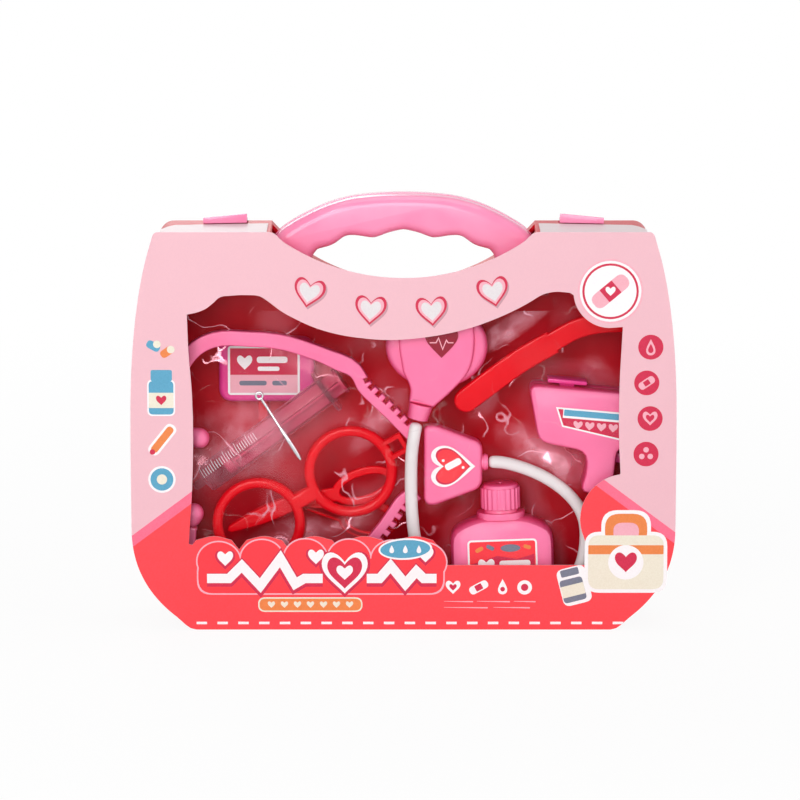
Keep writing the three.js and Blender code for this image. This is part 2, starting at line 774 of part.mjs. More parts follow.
function buildCase() {
  add('rear_shell', rearShell(), red);
  add('front_shell', frontShell(), red);
  const sheetFront = shellFront + shellWall + seat;
  const sheet = plate(inset(windowShape, -frameMargin - sheetLap), sheetFront, sheetFront + sheetThickness);
  add('window_sheet', sheet, clearWhite, { roughness: 0.05, opacity: 0.2 });
  add('front_card', frontCard(), cardPink, { roughness: 0.5 });
  add('carry_handle', carryHandle(), palePink, { roughness: 0.25 });
  for (const [name, side] of [['left', -1], ['right', 1]]) {
    add(`latch_${name}`, latch(side), palePink);
    const [from, to] = latchRange(side);
    const pinEnd = latchBoreReach - seat;
    const latchPin = rodX(latchPinRadius, from - pinEnd, to + pinEnd, latchPivotY, latchPivotZ);
    add(`latch_pin_${name}`, latchPin, zinc, { metalness: 1 });
    const reach = knuckleLength / 2 + knuckleOuterLength;
    const middle = side * hingeX;
    const hingePin = rodX(pinRadius, middle - reach, middle + reach, partingY, hingeZ);
    add(`hinge_pin_${name}`, hingePin, zinc, { metalness: 1 });
    const [x, seatY] = [side * screwX, backY - screwHeadDepth];
    const shank = rodY(screwShank, handleDepth / 2 - screwReach, seatY + seat, x, screwZ);
    const head = rodY(screwHead, seatY + seat / 2, backY - seat, x, screwZ);
    add(`handle_screw_${name}`, join(shank, head), zinc, { metalness: 1 });
  }
}

// Outlines of what lies in the tray, shared by the pieces and their recesses

const armLine = (shares) => (
  shares.map(([x, z]) => point(x * bellyHalf, yoke.z + z * headsetRise)));
const armOutline = (shares) => ribbon(armLine(shares), armWidth, arcSteps * 2.5);
const yokeOutline = roundedCorners(
  placed(yokeShares.map(([x, z]) => point(x * yoke.width, z * yoke.height)), yoke), 2 * yokeEdge);

// Place of an ear tip, at the end of its arm
function tipPlace(shares, turn) {
  const end = armLine(shares)[shares.length - 1];
  return { x: end.x, z: end.y, turn };
}

const upperTip = tipPlace(upperArmShares, upperTipTurn);
const lowerTip = tipPlace(lowerArmShares, lowerTipTurn);

function chestOutline() {
  const { x, z, halfWidth, halfHeight } = chestHead;
  return distinct(arc(x, z, halfWidth, halfHeight, 0, 2 * Math.PI, roundSteps + 4));
}

function chestNeckOutline() {
  const neck = chestCollarRadius + seat;
  const tip = placed([point(0, neck), point(0, -neck)], {
    x: chestCollar.x + Math.cos(chestTilt) * (chestCollarLength / 2 + seat),
    z: chestCollar.z + Math.sin(chestTilt) * (chestCollarLength / 2 + seat),
    turn: chestTilt,
  });
  const { x, z, halfWidth, halfHeight } = chestHead;
  const fromTable = (shares) => shares.map(([u, w]) => point(x + u * halfWidth, z + w * halfHeight));
  const left = new THREE.SplineCurve([...fromTable(neckLeftShares), tip[0]]).getPoints(arcSteps / 2);
  const right = new THREE.SplineCurve([tip[1], ...fromTable(neckRightShares)]).getPoints(arcSteps / 2);
  return distinct([...left, ...right]);
}

function ringCentres() {
  return [-1, 1].map((side) => placed([point(side * ringSpacing / 2, 0)], glasses)[0]);
}

function lugOutlines(size) {
  return [-1, 1].map((side) => {
    const middle = side * (ringSpacing / 2 + lugReach);
    return placed(rectangle(middle - size / 2, -size / 2, middle + size / 2, size / 2), glasses);
  });
}

function bridgeOutline() {
  const half = ringSpacing / 2 - (ringOuter + ringInner) / 2;
  return placed(rectangle(-half, -bridgeHeight / 2, half, bridgeHeight / 2), glasses);
}

function gunOutline() {
  const corners = [
    point(0, 0), point(gunHeight * 0.27, -gunHeight), point(gripLeft - 5 * slideGap, -gunHeight * 1.1),
    point(gripLeft, -gunHeight * 1.45), point(gripLeft - gunWall * 1.5, -gripLow),
    point(gripRight, -gripLow), point(gripRight + slideGap, -gunHeight),
    point(noseUnder, -gunHeight * 0.92), point(gunLength, -noseHeight),
    point(gunLength, -noseDrop), point(gunLength * 0.9, 0),
  ];
  return placed(roundedCorners(corners, gunCorner), gun);
}

// Room in the gun's pocket for its trigger, its button and the lens at the muzzle
function gunFittings() {
  const half = lensRadius + pocketGap;
  return [
    rectangle(gripRight - gunWall, -triggerLow, gripRight + triggerReach + gunWall, gunWall - triggerTop),
    rectangle(buttonStart, -gunWall, buttonEnd, buttonRaise + buttonThickness),
    rectangle(gunLength - gunWall, lensMiddle - half, gunLength + seat + lensThickness, lensMiddle + half),
  ].map((points) => placed(points, gun));
}

function bottleOutline() {
  const corners = [
    point(-bottleHalf, 0), point(bottleHalf, 0), point(bottleHalf, bottleShoulder - shoulderDrop),
    point(ringRadius, bottleShoulder), point(-ringRadius, bottleShoulder),
    point(-bottleHalf, bottleShoulder - shoulderDrop),
  ];
  return placed(roundedCorners(corners, bottleEdge * 1.3), bottle);
}

function capOutline(margin) {
  const top = bottleShoulder + neckHeight + ringHeight + capHeight + margin;
  const half = ringRadius + margin;
  return placed(rectangle(-half, bottleShoulder - shoulderDrop, half, top), bottle);
}

const spatulaOutline = ribbon(fromShares(spatulaShares), spatulaWidth, 3);
const spatulaGripOutline = ribbon(fromShares(spatulaGripShares), spatulaGripWidth, 6);
const spatulaTip = fromShares(spatulaShares)[0];

// Formed tray: a face sheet with a skirt down to the tub's back wall, shallow recesses for the
// thin toys and deep pockets for the bottle and the thermometer gun
function blisterTray() {
  const side = inset(shellOutline, shellWall + trayGap);
  const floor = shellWall + trayFloorGap;
  const outline = trayOutline(side, floor);
  const face = plate(outline, trayFace, trayBack);
  const hollow = plate(inset(outline, trayWall), trayFace + trayWall, trayBack + overrun);
  const cups = [
    ...[upperArmShares, lowerArmShares].map((shares) => [armOutline(shares), recessFloor, recessGap]),
    [yokeOutline, recessFloor, recessGap],
    [chestOutline(), recessFloor, recessGap],
    ...ringCentres().map((c) => [circle(c.x, c.y, ringOuter, arcSteps * 3), recessFloor, recessGap]),
    ...lugOutlines(lugSize).map((lug) => [lug, recessFloor, recessGap]),
    [bridgeOutline(), recessFloor, recessGap],
    [spatulaOutline, recessFloor, recessGap],
    [spatulaGripOutline, recessFloor, recessGap],
    [circle(spatulaTip.x, spatulaTip.y, spatulaWidth / 2), recessFloor, recessGap],
    ...[upperTip, lowerTip].map((at) => [circle(at.x, at.z, tipRadius * 1.4), recessFloor, recessGap]),
    [probeOutline(), recessFloor, recessGap],
    [circle(probeStart.x, probeStart.z, probeEye), recessFloor, recessGap],
    [gunOutline(), gunBack + seat, pocketGap],
    ...gunFittings().map((points) => [points, gunBack + seat, pocketGap]),
    [bottleOutline(), bottleBack + seat, pocketGap],
    [capOutline(pocketGap), bottleBack + seat, pocketGap],
  ];
  let body = cut(face, hollow);
  for (const [points, depth, gap] of cups) {
    body = join(body, plate(inset(points, -gap - trayWall), trayFace, depth + trayWall));
  }
  for (const [points, depth, gap] of cups) {
    body = cut(body, plate(inset(points, -gap), trayFace - overrun, depth));
  }
  const outside = plate(inset(outline, -caseDepth), trayFace - 2 * overrun, backY, { holes: [outline] });
  return cut(body, outside);
}

function trayOutline(side, floor) {
  const wide = side.filter((p) => p.x > trayStepX && p.y > floor && p.y < trayShoulder);
  const half = [
    point(baseHalf * 0.96, floor), ...wide, point(wide[wide.length - 1].x - shoulderRound, trayShoulder),
    point(trayStepX, trayShoulder), point(trayStepX, trayCrown),
  ];
  return [...half, ...half.map((p) => point(-p.x, p.y)).reverse()];
}

function headsetArm(shares) {
  const centre = new THREE.SplineCurve(armLine(shares));
  let body = plate(armOutline(shares), toyBack - armDepth, toyBack, { round: armEdge });
  const length = centre.getLength();
  const inwards = shares === upperArmShares ? 1 : -1;
  for (let i = 0; i < toothCount; i += 1) {
    const along = (toothPitch * (i + 1.6)) / length;
    const p = centre.getPointAt(along);
    const t = centre.getTangentAt(along);
    const side = point(-t.y, t.x).multiplyScalar(-inwards);
    const middle = p.clone().addScaledVector(side, armWidth / 2);
    const notch = placed(rectangle(-toothGap / 2, -toothDepth, toothGap / 2, toothDepth), {
      x: middle.x, z: middle.y, turn: Math.atan2(t.y, t.x),
    });
    body = cut(body, plate(notch, toyBack - armDepth - overrun, toyBack + overrun));
  }
  return cut(body, plate(inset(yokeOutline, -seat), toyBack - yokeDepth - overrun, toyBack + overrun));
}

function tipCentre(at) {
  return { x: at.x, y: toyBack - tipRadius, z: at.z };
}

// A soft ear tip: a ball on a short cone
function earTip(at) {
  const ball = arc(0, tipLength * 0.1, tipRadius, tipRadius, -0.2, Math.PI / 2, arcSteps - 2);
  const profile = [[0, -tipLength * 0.45], [tipRadius * 0.62, -tipLength * 0.42]];
  ball.slice(0, -1).forEach((p) => profile.push([p.x, p.y]));
  profile.push([0, tipLength * 0.1 + tipRadius]);
  return turnedPiece(profile, tipCentre(at), at.turn, arcSteps + 4);
}

// Room that an arm leaves for its ear tip
function tipRoom(at) {
  return turnedPiece(drum(tipRadius * 1.6, -tipLength * 0.45 - seat, tipLength), tipCentre(at), at.turn);
}

function buildStethoscope() {
  const yokeFront = toyBack - yokeDepth;
  const [tubeX, tubeY, tubeZ] = tubeRoute[0];
  const yokeRight = Math.max(...yokeOutline.map((p) => p.x));
  const collar = rodX(collarRadius, yokeRight - collarLength, tubeX - seat, tubeY, tubeZ, arcSteps + 4);
  add('stethoscope_yoke', join(plate(yokeOutline, yokeFront, toyBack, { round: yokeEdge }), collar), pink);
  const sideways = { ...yokeHeart, turn: Math.PI / 2 };
  add('yoke_sticker', plate(heart(sideways), yokeFront - seat - stickerThickness, yokeFront - seat), red);
  add('headset_arm_upper', cut(headsetArm(upperArmShares), tipRoom(upperTip)), pink);
  add('headset_arm_lower', cut(headsetArm(lowerArmShares), tipRoom(lowerTip)), pink);
  add('ear_tip_upper', earTip(upperTip), pink);
  add('ear_tip_lower', earTip(lowerTip), pink);
  add('stethoscope_tube', stethoscopeTube(), vinyl, { roughness: 0.4 });
  buildChestPiece();
}

function buildChestPiece() {
  const back = toyBack - diaphragmThickness - seat;
  const head = plate(chestOutline(), chestFront + chestEdge, back, { round: chestEdge });
  const neck = plate(chestNeckOutline(), chestFront, back - chestEdge, { round: chestEdge / 2 });
  add('chest_piece', join(head, neck), pink);
  const collarProfile = [
    [0, 0], [chestCollarRadius * 0.86, 0], [chestCollarRadius, chestCollarLength], [0, chestCollarLength],
  ];
  const collarStart = {
    x: chestCollar.x - Math.cos(chestTilt) * chestCollarLength / 2,
    y: chestCollar.y,
    z: chestCollar.z - Math.sin(chestTilt) * chestCollarLength / 2,
  };
  add('chest_collar', turnedPiece(collarProfile, collarStart, chestTilt), pink);
  const emblemBack = chestFront - seat;
  add('chest_emblem', plate(heart(chestHeart), emblemBack - stickerThickness, emblemBack), deepRed);
  const disc = circle(chestHead.x, chestHead.z, diaphragmRadius);
  add('chest_diaphragm', plate(disc, toyBack - diaphragmThickness, toyBack), vinyl);
}

function stethoscopeTube() {
  const route = new THREE.CatmullRomCurve3(tubeRoute.map((p) => new THREE.Vector3(...p)));
  const section = new THREE.Shape(circle(0, 0, tubeRadius, tubeSides));
  const options = { steps: tubeSteps, bevelEnabled: false, extrudePath: route };
  return solid(new THREE.ExtrudeGeometry(section, options));
}

function buildGlasses() {
  const front = toyBack - glassesDepth;
  const through = (points) => plate(points, front - overrun, toyBack + overrun);
  const rims = ringCentres().map((c) => (
    plate(circle(c.x, c.y, ringOuter, 2 * roundSteps), front, toyBack, { round: glassesEdge })));
  const eyes = ringCentres().map((c) => through(circle(c.x, c.y, ringInner, 2 * roundSteps)));
  const lugs = lugOutlines(lugSize).map((points) => plate(points, front, toyBack));
  const sockets = lugOutlines(lugHole).map(through);
  const body = join(rims[0], rims[1], plate(bridgeOutline(), front + glassesEdge / 2, toyBack), ...lugs);
  add('glasses_frame', cut(body, ...eyes, ...sockets), red, { roughness: 0.2 });
}

function bladeOutline() {
  const half = bladeRoot / 2;
  const points = [
    point(half, half), point(half, -half), point(-bladeWide, -half), point(-bladeLength, -bladeTip / 2),
    point(-bladeLength - bladeTip / 2, 0), point(-bladeLength, bladeTip / 2), point(-bladeWide, half),
  ];
  return placed(points, { ...scissors, turn: scissors.bladeTurn });
}

// One half: a blade, a shank and a finger loop, in the front layer or the one behind it
function scissorsHalf(loop, layer) {
  const front = scissorsFront + layer * (scissorsSheet + seat);
  const back = front + scissorsSheet;
  const hub = circle(scissors.x, scissors.z, bladeRoot / 2 + seat);
  const inwards = point(-loop.long * shankReachShare, 0).rotateAround(point(0, 0), loop.turn);
  const reach = point(loop.x, loop.z).add(inwards);
  const shank = ribbon([point(0, 0), reach.clone().multiplyScalar(0.5), reach], shankWidth, 4);
  const ring = (margin) => placed(
    distinct(arc(0, 0, loop.long - margin, loop.short - margin, 0, 2 * Math.PI, arcSteps * 3)),
    { x: scissors.x + loop.x, z: scissors.z + loop.z, turn: loop.turn });
  const outlines = [bladeOutline(), hub, placed(shank, scissors), ring(0)];
  const body = join(...outlines.map((points) => plate(points, front, back)));
  const hole = circle(scissors.x, scissors.z, rivetRadius + boreGap);
  const openings = [ring(loopRim), hole].map((points) => plate(points, front - overrun, back + overrun));
  return cut(body, ...openings);
}

function buildScissors() {
  add('scissors_half_upper', scissorsHalf(upperLoop, 0), red);
  add('scissors_half_lower', scissorsHalf(lowerLoop, 1), red);
  const rivet = circle(scissors.x, scissors.z, rivetRadius);
  add('scissors_rivet', plate(rivet, scissorsFront, scissorsFront + 2 * scissorsSheet + seat), red);
}

function alongSyringe(distance) {
  return {
    x: syringe.x + Math.cos(syringe.turn) * distance,
    y: syringe.y,
    z: syringe.z + Math.sin(syringe.turn) * distance,
  };
}

function buildSyringe() {
  const bore = barrelRadius - barrelWall;
  const end = barrelLength;
  const profile = [
    [nozzleBore, -nozzleLength], [nozzleRadius * 0.8, -nozzleLength], [nozzleRadius, 0], [barrelRadius, 0],
    [barrelRadius, end], [bore, end], [bore, barrelWall], [nozzleBore, barrelWall],
    [nozzleBore, -nozzleLength],
  ];
  const along = (shape, distance) => turnedPiece(shape, alongSyringe(distance), syringe.turn);
  const wings = placed(roundedCorners(
    rectangle(end - flangeThickness, -flangeHalf, end, flangeHalf), flangeThickness / 2), syringe);
  const flange = plate(wings, syringe.y - flangeDepthHalf, syringe.y + flangeDepthHalf);
  const hole = along(drum(bore, 0, flangeThickness + 2 * overrun), end - flangeThickness - overrun);
  const barrel = cut(join(along(profile, 0), flange), hole);
  add('syringe_barrel', barrel, clearPink, { roughness: 0.1, opacity: 0.35 });
  const rodStart = plungerInset + sealThickness + seat;
  const rodEnd = end + plungerStand;
  const radius = bore - 2 * sealGap;
  const blade = placed(rectangle(rodStart, -radius, rodEnd, radius), syringe);
  const spine = placed(rectangle(rodStart, -plungerRib / 2, rodEnd, plungerRib / 2), syringe);
  add('syringe_plunger', join(
    plate(blade, syringe.y - plungerRib / 2, syringe.y + plungerRib / 2),
    plate(spine, syringe.y - radius, syringe.y + radius),
    along(drum(radius, 0, plungerRib), rodStart),
    along(drum(thumbRadius, 0, thumbThickness), rodEnd - seat),
  ), clearPink, { roughness: 0.15, opacity: 0.45 });
  add('syringe_seal', along(drum(bore - sealGap, 0, sealThickness), plungerInset), clearPink);
}

function gunBlock(left, low, right, high, front, back) {
  return plate(placed(rectangle(left, low, right, high), gun), front, back);
}

// One half of the gun's shell, with its slots for the trigger, the button and the lens
function gunHalf(front) {
  const outline = gunOutline();
  const whole = plate(outline, gunFront, gunBack, { round: gunEdge });
  const core = plate(inset(outline, gunWall), gunFront + gunWall, gunBack - gunWall);
  const stemHalf = triggerWidth / 2 + slideGap;
  const [from, to] = [gunMiddle - stemHalf, gunMiddle + stemHalf];
  const slot = gunBlock(
    gripRight - 2 * gunWall, -stemLow - slideGap, gripRight + 2 * gunWall, slideGap - stemTop, from, to);
  const stem = buttonStemHalf + slideGap;
  const top = gunBlock(buttonMiddle - stem, -2 * gunWall, buttonMiddle + stem, gunWall, from, to);
  const muzzle = gunBlock(
    gunLength - 2 * gunWall, lensMiddle - lensBoreHalf, gunLength + gunWall, lensMiddle + lensBoreHalf,
    gunMiddle - lensBoreHalf, gunMiddle + lensBoreHalf);
  const away = front
    ? [gunMiddle - seat / 2, gunBack + overrun]
    : [gunFront - overrun, gunMiddle + seat / 2];
  const other = block(0, away[0], 0, bellyHalf, away[1], shoulderHeight);
  return cut(whole, core, slot, top, muzzle, other);
}

function buildThermometer() {
  add('thermometer_shell_front', gunHalf(true), pink);
  add('thermometer_shell_back', gunHalf(false), pink);
  const [from, to] = [gunMiddle - triggerWidth / 2, gunMiddle + triggerWidth / 2];
  const gripFace = gripRight + seat;
  const padStart = gripFace + triggerTravel + seat;
  const pad = placed(roundedCorners(
    rectangle(padStart, -triggerLow, gripFace + triggerReach, -triggerTop), triggerReach / 4), gun);
  const stem = gunBlock(gripRight - gunWall - stemInside, -stemLow, padStart + seat, -stemTop, from, to);
  add('thermometer_trigger', join(plate(pad, from, to), stem), pink);
  const cap = placed(roundedCorners(
    rectangle(buttonStart, buttonRaise, buttonEnd, buttonRaise + buttonThickness), buttonRound), gun);
  add('thermometer_button', join(
    plate(cap, gunMiddle - triggerWidth, gunMiddle + triggerWidth),
    gunBlock(buttonMiddle - buttonStemHalf, -buttonStemDepth, buttonMiddle + buttonStemHalf,
      buttonRaise + seat, from, to),
  ), pink);
  const lensAt = placed([point(gunLength + seat, lensMiddle)], gun)[0];
  const lens = [[0, 0], [lensRadius, 0], [lensRadius * 0.85, lensThickness], [0, lensThickness]];
  add('thermometer_lens', turnedPiece(lens, { x: lensAt.x, y: gunMiddle, z: lensAt.y }, gun.turn),
    lensBlack, { roughness: 0.1 });
  const sticker = placed(gunStickerShares.map(([u, w]) => point(u * gunLength, w * gunHeight)), gun);
  add('thermometer_sticker', plate(sticker, gunFront - seat - stickerThickness, gunFront - seat), paper);
}

// Place on the bottle's middle line at a height above its base
function bottlePlace(height) {
  const p = placed([point(0, height)], bottle)[0];
  return { x: p.x, y: bottleMiddle, z: p.y };
}

// The cap's ribbed grip: teeth and valleys of equal width round a circle
function capGrip() {
  const points = [];
  for (let i = 0; i < capRibs * 4; i += 1) {
    const turn = (i / (capRibs * 4)) * 2 * Math.PI;
    const radius = i % 4 < 2 ? capRadius : capRadius - capRibDepth;
    points.push(point(Math.cos(turn) * radius, Math.sin(turn) * radius));
  }
  const options = { depth: capHeight - capTopRound, bevelEnabled: false };
  return new THREE.ExtrudeGeometry(new THREE.Shape(points), options);
}

function buildBottle() {
  const up = Math.PI / 2 + bottle.turn;
  const shell = plate(bottleOutline(), bottleFront, bottleBack, { round: bottleEdge });
  const ring = turnedPiece(
    drum(ringRadius, -overrun, ringHeight), bottlePlace(bottleShoulder), up, roundSteps, ringFlatShare);
  const neck = turnedPiece(drum(neckRadius, 0, ringHeight + neckHeight), bottlePlace(bottleShoulder), up);
  add('bottle_body', join(shell, ring, neck), pink);
  const capAt = bottlePlace(bottleShoulder + ringHeight + neckHeight + seat);
  const rim = capRadius - capRibDepth * 1.5;
  const crown = capHeight - capTopRound;
  const profile = [
    [0, crown - capTopRound], [rim, crown - capTopRound], [rim, crown + capTopRound * 0.4],
    [rim - capTopRound * 0.3, crown + capTopRound * 0.8], [rim - capTopRound * 0.8, capHeight],
    [ventRadius, capHeight], [ventRadius, capHeight - ventDepth], [0, capHeight - ventDepth],
  ];
  const grip = capGrip().rotateY(Math.PI / 2 - up).translate(capAt.x, capAt.y, capAt.z);
  add('bottle_cap', join(turnedPiece(profile, capAt, up), solid(grip)), pink);
  const field = rectangle(-bottleLabelHalf, bottleLabelLow, bottleLabelHalf, bottleLabelTop);
  const label = placed(roundedCorners(field, bottleLabelLow / 2), bottle);
  add('bottle_label', plate(label, bottleFront - seat - stickerThickness, bottleFront - seat), paper);
}

function probeOutline() {
  const from = point(probeStart.x, probeStart.z);
  const to = point(probeEnd.x, probeEnd.z);
  return ribbon([from, from.clone().lerp(to, 0.5), to], 2 * probeEye, 2);
}

function buildSpatula() {
  const outlines = [
    spatulaOutline, spatulaGripOutline, circle(spatulaTip.x, spatulaTip.y, spatulaWidth / 2),
  ];
  const layers = outlines.map((points) => (
    plate(points, toyBack - spatulaThickness, toyBack, { round: spatulaEdge })));
  add('spatula', join(...layers), red);
}

function buildGauge() {
  const back = tubBack - seat;
  const box = roundedCorners(rectangle(gaugeLeft, gaugeLow, gaugeRight, gaugeHigh), gaugeRound, 5);
  add('gauge_body', plate(box, gaugeFront, back, { round: gaugeEdge }), pink);
  const label = roundedCorners(rectangle(
    gaugeLeft + gaugeLabelSide, gaugeLow + gaugeLabelMargin,
    gaugeRight - 2 * gaugeLabelMargin, gaugeHigh - gaugeLabelMargin), gaugeLabelMargin / 2);
  add('gauge_label', plate(label, gaugeFront - seat - stickerThickness, gaugeFront - seat), paper);
  const stem = roundedCorners(
    rectangle(stemX - stemWidth / 2, stemEnd, stemX + stemWidth / 2, gaugeLow - seat), stemWidth / 3);
  add('gauge_stem', plate(stem, back - stemThickness, back), red);
}

// A thin plated rod with an eye at its upper end, thicker along its lower half
function buildProbe() {
  const { x, z } = probeStart;
  const turn = Math.atan2(probeEnd.z - z, probeEnd.x - x);
  const length = Math.hypot(probeEnd.z - z, probeEnd.x - x);
  const y = toyBack - probeRadius;
  const rod = turnedPiece([
    [0, probeEye * 0.6], [probeThin, probeEye * 0.6], [probeThin, length * 0.42],
    [probeRadius, length * 0.45], [probeRadius, length], [0, length],
  ], { x, y, z }, turn, arcSteps);
  const eye = plate(circle(x, z, probeEye), y - probeThin, y + probeThin);
  const hole = rodY(probeEye / 2, y - probeRadius - overrun, y + probeRadius + overrun, x, z);
  add('probe', cut(join(rod, eye), hole), chrome, { metalness: 1, roughness: 0.2 });
}

buildCase();
add('blister_tray', blisterTray(), trayTint, { roughness: 0.08, opacity: 0.25 });
buildStethoscope();
buildGlasses();
buildScissors();
buildSyringe();
buildThermometer();
buildBottle();
buildSpatula();
buildGauge();
buildProbe();

export default part;
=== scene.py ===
import json
import math

import bpy
from mathutils import Matrix, Vector


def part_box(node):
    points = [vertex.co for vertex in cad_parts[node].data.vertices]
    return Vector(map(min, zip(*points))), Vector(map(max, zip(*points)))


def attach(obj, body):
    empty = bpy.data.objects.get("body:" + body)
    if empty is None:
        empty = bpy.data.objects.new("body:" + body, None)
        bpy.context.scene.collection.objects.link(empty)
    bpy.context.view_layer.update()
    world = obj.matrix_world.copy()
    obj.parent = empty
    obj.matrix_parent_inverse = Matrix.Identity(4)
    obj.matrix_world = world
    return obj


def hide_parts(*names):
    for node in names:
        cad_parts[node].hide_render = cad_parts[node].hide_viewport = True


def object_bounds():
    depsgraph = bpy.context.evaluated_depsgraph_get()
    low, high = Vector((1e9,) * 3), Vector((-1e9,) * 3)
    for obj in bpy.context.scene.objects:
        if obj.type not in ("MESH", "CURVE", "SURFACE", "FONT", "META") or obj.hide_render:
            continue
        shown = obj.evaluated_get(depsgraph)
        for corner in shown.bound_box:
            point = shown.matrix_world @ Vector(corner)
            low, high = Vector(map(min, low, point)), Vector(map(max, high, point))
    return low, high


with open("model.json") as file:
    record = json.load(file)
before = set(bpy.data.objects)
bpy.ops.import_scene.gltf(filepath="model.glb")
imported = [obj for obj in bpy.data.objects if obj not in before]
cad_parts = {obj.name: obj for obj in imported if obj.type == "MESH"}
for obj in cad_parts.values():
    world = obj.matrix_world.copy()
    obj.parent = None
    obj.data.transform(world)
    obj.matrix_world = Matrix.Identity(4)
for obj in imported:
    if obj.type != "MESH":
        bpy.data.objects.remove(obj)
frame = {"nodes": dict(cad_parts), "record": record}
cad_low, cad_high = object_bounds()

# Toy doctor case: the looks of every piece. Metres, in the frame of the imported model: X to the
# right, Y to the back, Z up. Small sizes are written in millimetres and multiplied by MM.
MM = 0.001

# Photograph: a square frame, and the case's place and scale in it
PIXELS_PER_MM = 1.85
FRAME_SIDE_PX = 800
CASE_MIDDLE_PX = 403.5
CASE_BASE_PX = 632.5
CAMERA_ELEVATION = math.radians(10.5)
CAMERA_DISTANCE = 2.4
SENSOR = 36.0

# Colours, as sRGB hex
RED_SHELL = "D40A22"
RED_TOY = "EE0A1C"
PINK_TOY = "FF80AE"
PINK_HANDLE = "FF98C0"
PINK_CARD = "EFBBC5"
BOARD_CORE = "FBE3E8"
PRINT_RED = "FF3C48"
PRINT_HOT_PINK = "FF6F8E"
VINYL_WHITE = "EDE8E8"
ZINC = "B9BDC2"

# Offset inks of the print and the stickers: name, colour and the shade that mottles it
INKS = (
    ("red", PRINT_RED, "FA3842"),
    ("crimson", "D62B50", "CE2649"),
    ("white", "FDF9FA", "F9F4F6"),
    ("pale_grey", "E9E2E4", "E4DCDF"),
    ("rose", "F6B4C2", "F3ACBB"),
    ("dusty_pink", "CE9CA6", "C894A0"),
    ("blue", "5FA9C9", "58A1C2"),
    ("orange", "F08A4B", "EA8445"),
    ("cream", "F1EAD8", "ECE4D0"),
    ("wine_red", "9A1430", "92122C"),
    ("slate_grey", "7C7F92", "757888"))

# Sizes of what the finishes show. A grain under 1 mm is drawn coarser than the real one, so that it
# shows in the render.
FLOW_MARK = 18 * MM
SKIN_GRAIN = 0.5 * MM
SKIN_DEPTH = 0.03 * MM
INK_MOTTLE = 0.7 * MM
BOARD_MOTTLE = 0.8 * MM
BOARD_FIBRE_DEPTH = 0.02 * MM
POLISH_GRAIN = 0.8 * MM
FILM_RIPPLE = 14 * MM
FILM_RIPPLE_DEPTH = 0.8 * MM
FILM_HAZE = 34 * MM
FILM_CLOUD = 12 * MM
FILM_HIGHLIGHT_LINE = 30 * MM
FILM_HIGHLIGHT_LINE_LENGTH = 16 * MM

# The card's red foot: the slope of its two lines and their heights at X = 0, its highest level, and
# the stripe along it
FOOT_SLOPE = 0.75
FOOT_LEFT = 157 * MM
FOOT_RIGHT = 159 * MM
FOOT_TOP = 120 * MM
FOOT_STRIPE = 6.5 * MM

# Painted reflections on the tray, where it is drawn paler as if it shone broadly: strength, then place and
# half sizes in millimetres, and turn
TRAY_PAINTED_SHINE = (
    (0.6, -88, 103, 34, 26, 0.6),
    (0.9, 80, 93, 36, 15, -0.5),
    (1.0, 58, 164, 30, 7, 0.6),
    (0.7, 104, 120, 14, 32, 0),
    (0.8, -60, 48, 28, 11, 0.2),
    (0.7, -14, 112, 26, 8, 0.9))

# Floor: its side, and how far from the middle it shows the shadow and then plain white. The lamps
# aim at a point above its middle.
FLOOR_SIDE = 12
FLOOR_SHADOW = 0.25
FLOOR_PLAIN = 1
LAMP_AIM = Vector((0, 0, 110 * MM))

# Sizes that the scene shares with the solids
SHEET = 0.3 * MM
WALL = 1.8 * MM
TUB_ROUND = 4 * MM
LID_ROUND = 0.8 * MM
GAP = 0.3 * MM

# How far a cutter reaches past what it cuts, and how near points are welded
OVER = 1 * MM
WELD = 0.002 * MM
FINE_WELD = 0.001 * MM


def linear(code):
    """Linear RGB of an sRGB hex colour."""
    parts = [int(code[i:i + 2], 16) / 255 for i in (0, 2, 4)]
    return [c / 12.92 if c <= 0.04045 else ((c + 0.055) / 1.055) ** 2.4 for c in parts]


def rgba(code):
    return (*linear(code), 1)


# Selecting and finishing

def placed(name, data):
    """A new object of the scene with the given data."""
    obj = bpy.data.objects.new(name, data)
    bpy.context.scene.collection.objects.link(obj)
    return obj


def copied(node, name):
    """A node's own mesh as a new object."""
    return placed(name, frame["nodes"][node].data.copy())


def choose(*objects):
    bpy.ops.object.select_all(action="DESELECT")
    for obj in objects:
        obj.select_set(True)
    bpy.context.view_layer.objects.active = objects[0]


def edit_all(obj):
    """Opens an object in edit mode with all of it chosen."""
    choose(obj)
    bpy.ops.object.mode_set(mode="EDIT")
    bpy.ops.mesh.select_mode(type="VERT")
    bpy.ops.mesh.select_all(action="SELECT")


def edit_edges(obj, wanted):
    """Opens an object in edit mode with the edges chosen whose two ends pass a test."""
    choose(obj)
    mesh = obj.data
    mesh.vertices.foreach_set("select", [False] * len(mesh.vertices))
    mesh.polygons.foreach_set("select", [False] * len(mesh.polygons))
    for edge in mesh.edges:
        edge.select = wanted(*(mesh.vertices[i].co for i in edge.vertices))
    bpy.ops.object.mode_set(mode="EDIT")
    bpy.ops.mesh.select_mode(type="EDGE")


def object_mode():
    bpy.ops.object.mode_set(mode="OBJECT")


def cleaned(obj, merge=WELD, flat_degrees=0.5):
    """Welds an object's loose corners and joins the triangles of each flat face."""
    edit_all(obj)
    bpy.ops.mesh.remove_doubles(threshold=merge)
    bpy.ops.mesh.dissolve_limited(angle_limit=math.radians(flat_degrees))
    object_mode()
    return obj


def modified(obj, kind, **settings):
    """Adds a modifier with its settings and applies it."""
    choose(obj)
    modifier = obj.modifiers.new(kind.lower(), kind)
    for key, value in settings.items():
        setattr(modifier, key, value)
    bpy.ops.object.modifier_apply(modifier=modifier.name)
    return obj


def smooth(obj, degrees=32):
    choose(obj)
    bpy.ops.object.shade_smooth_by_angle(angle=math.radians(degrees))
    return obj


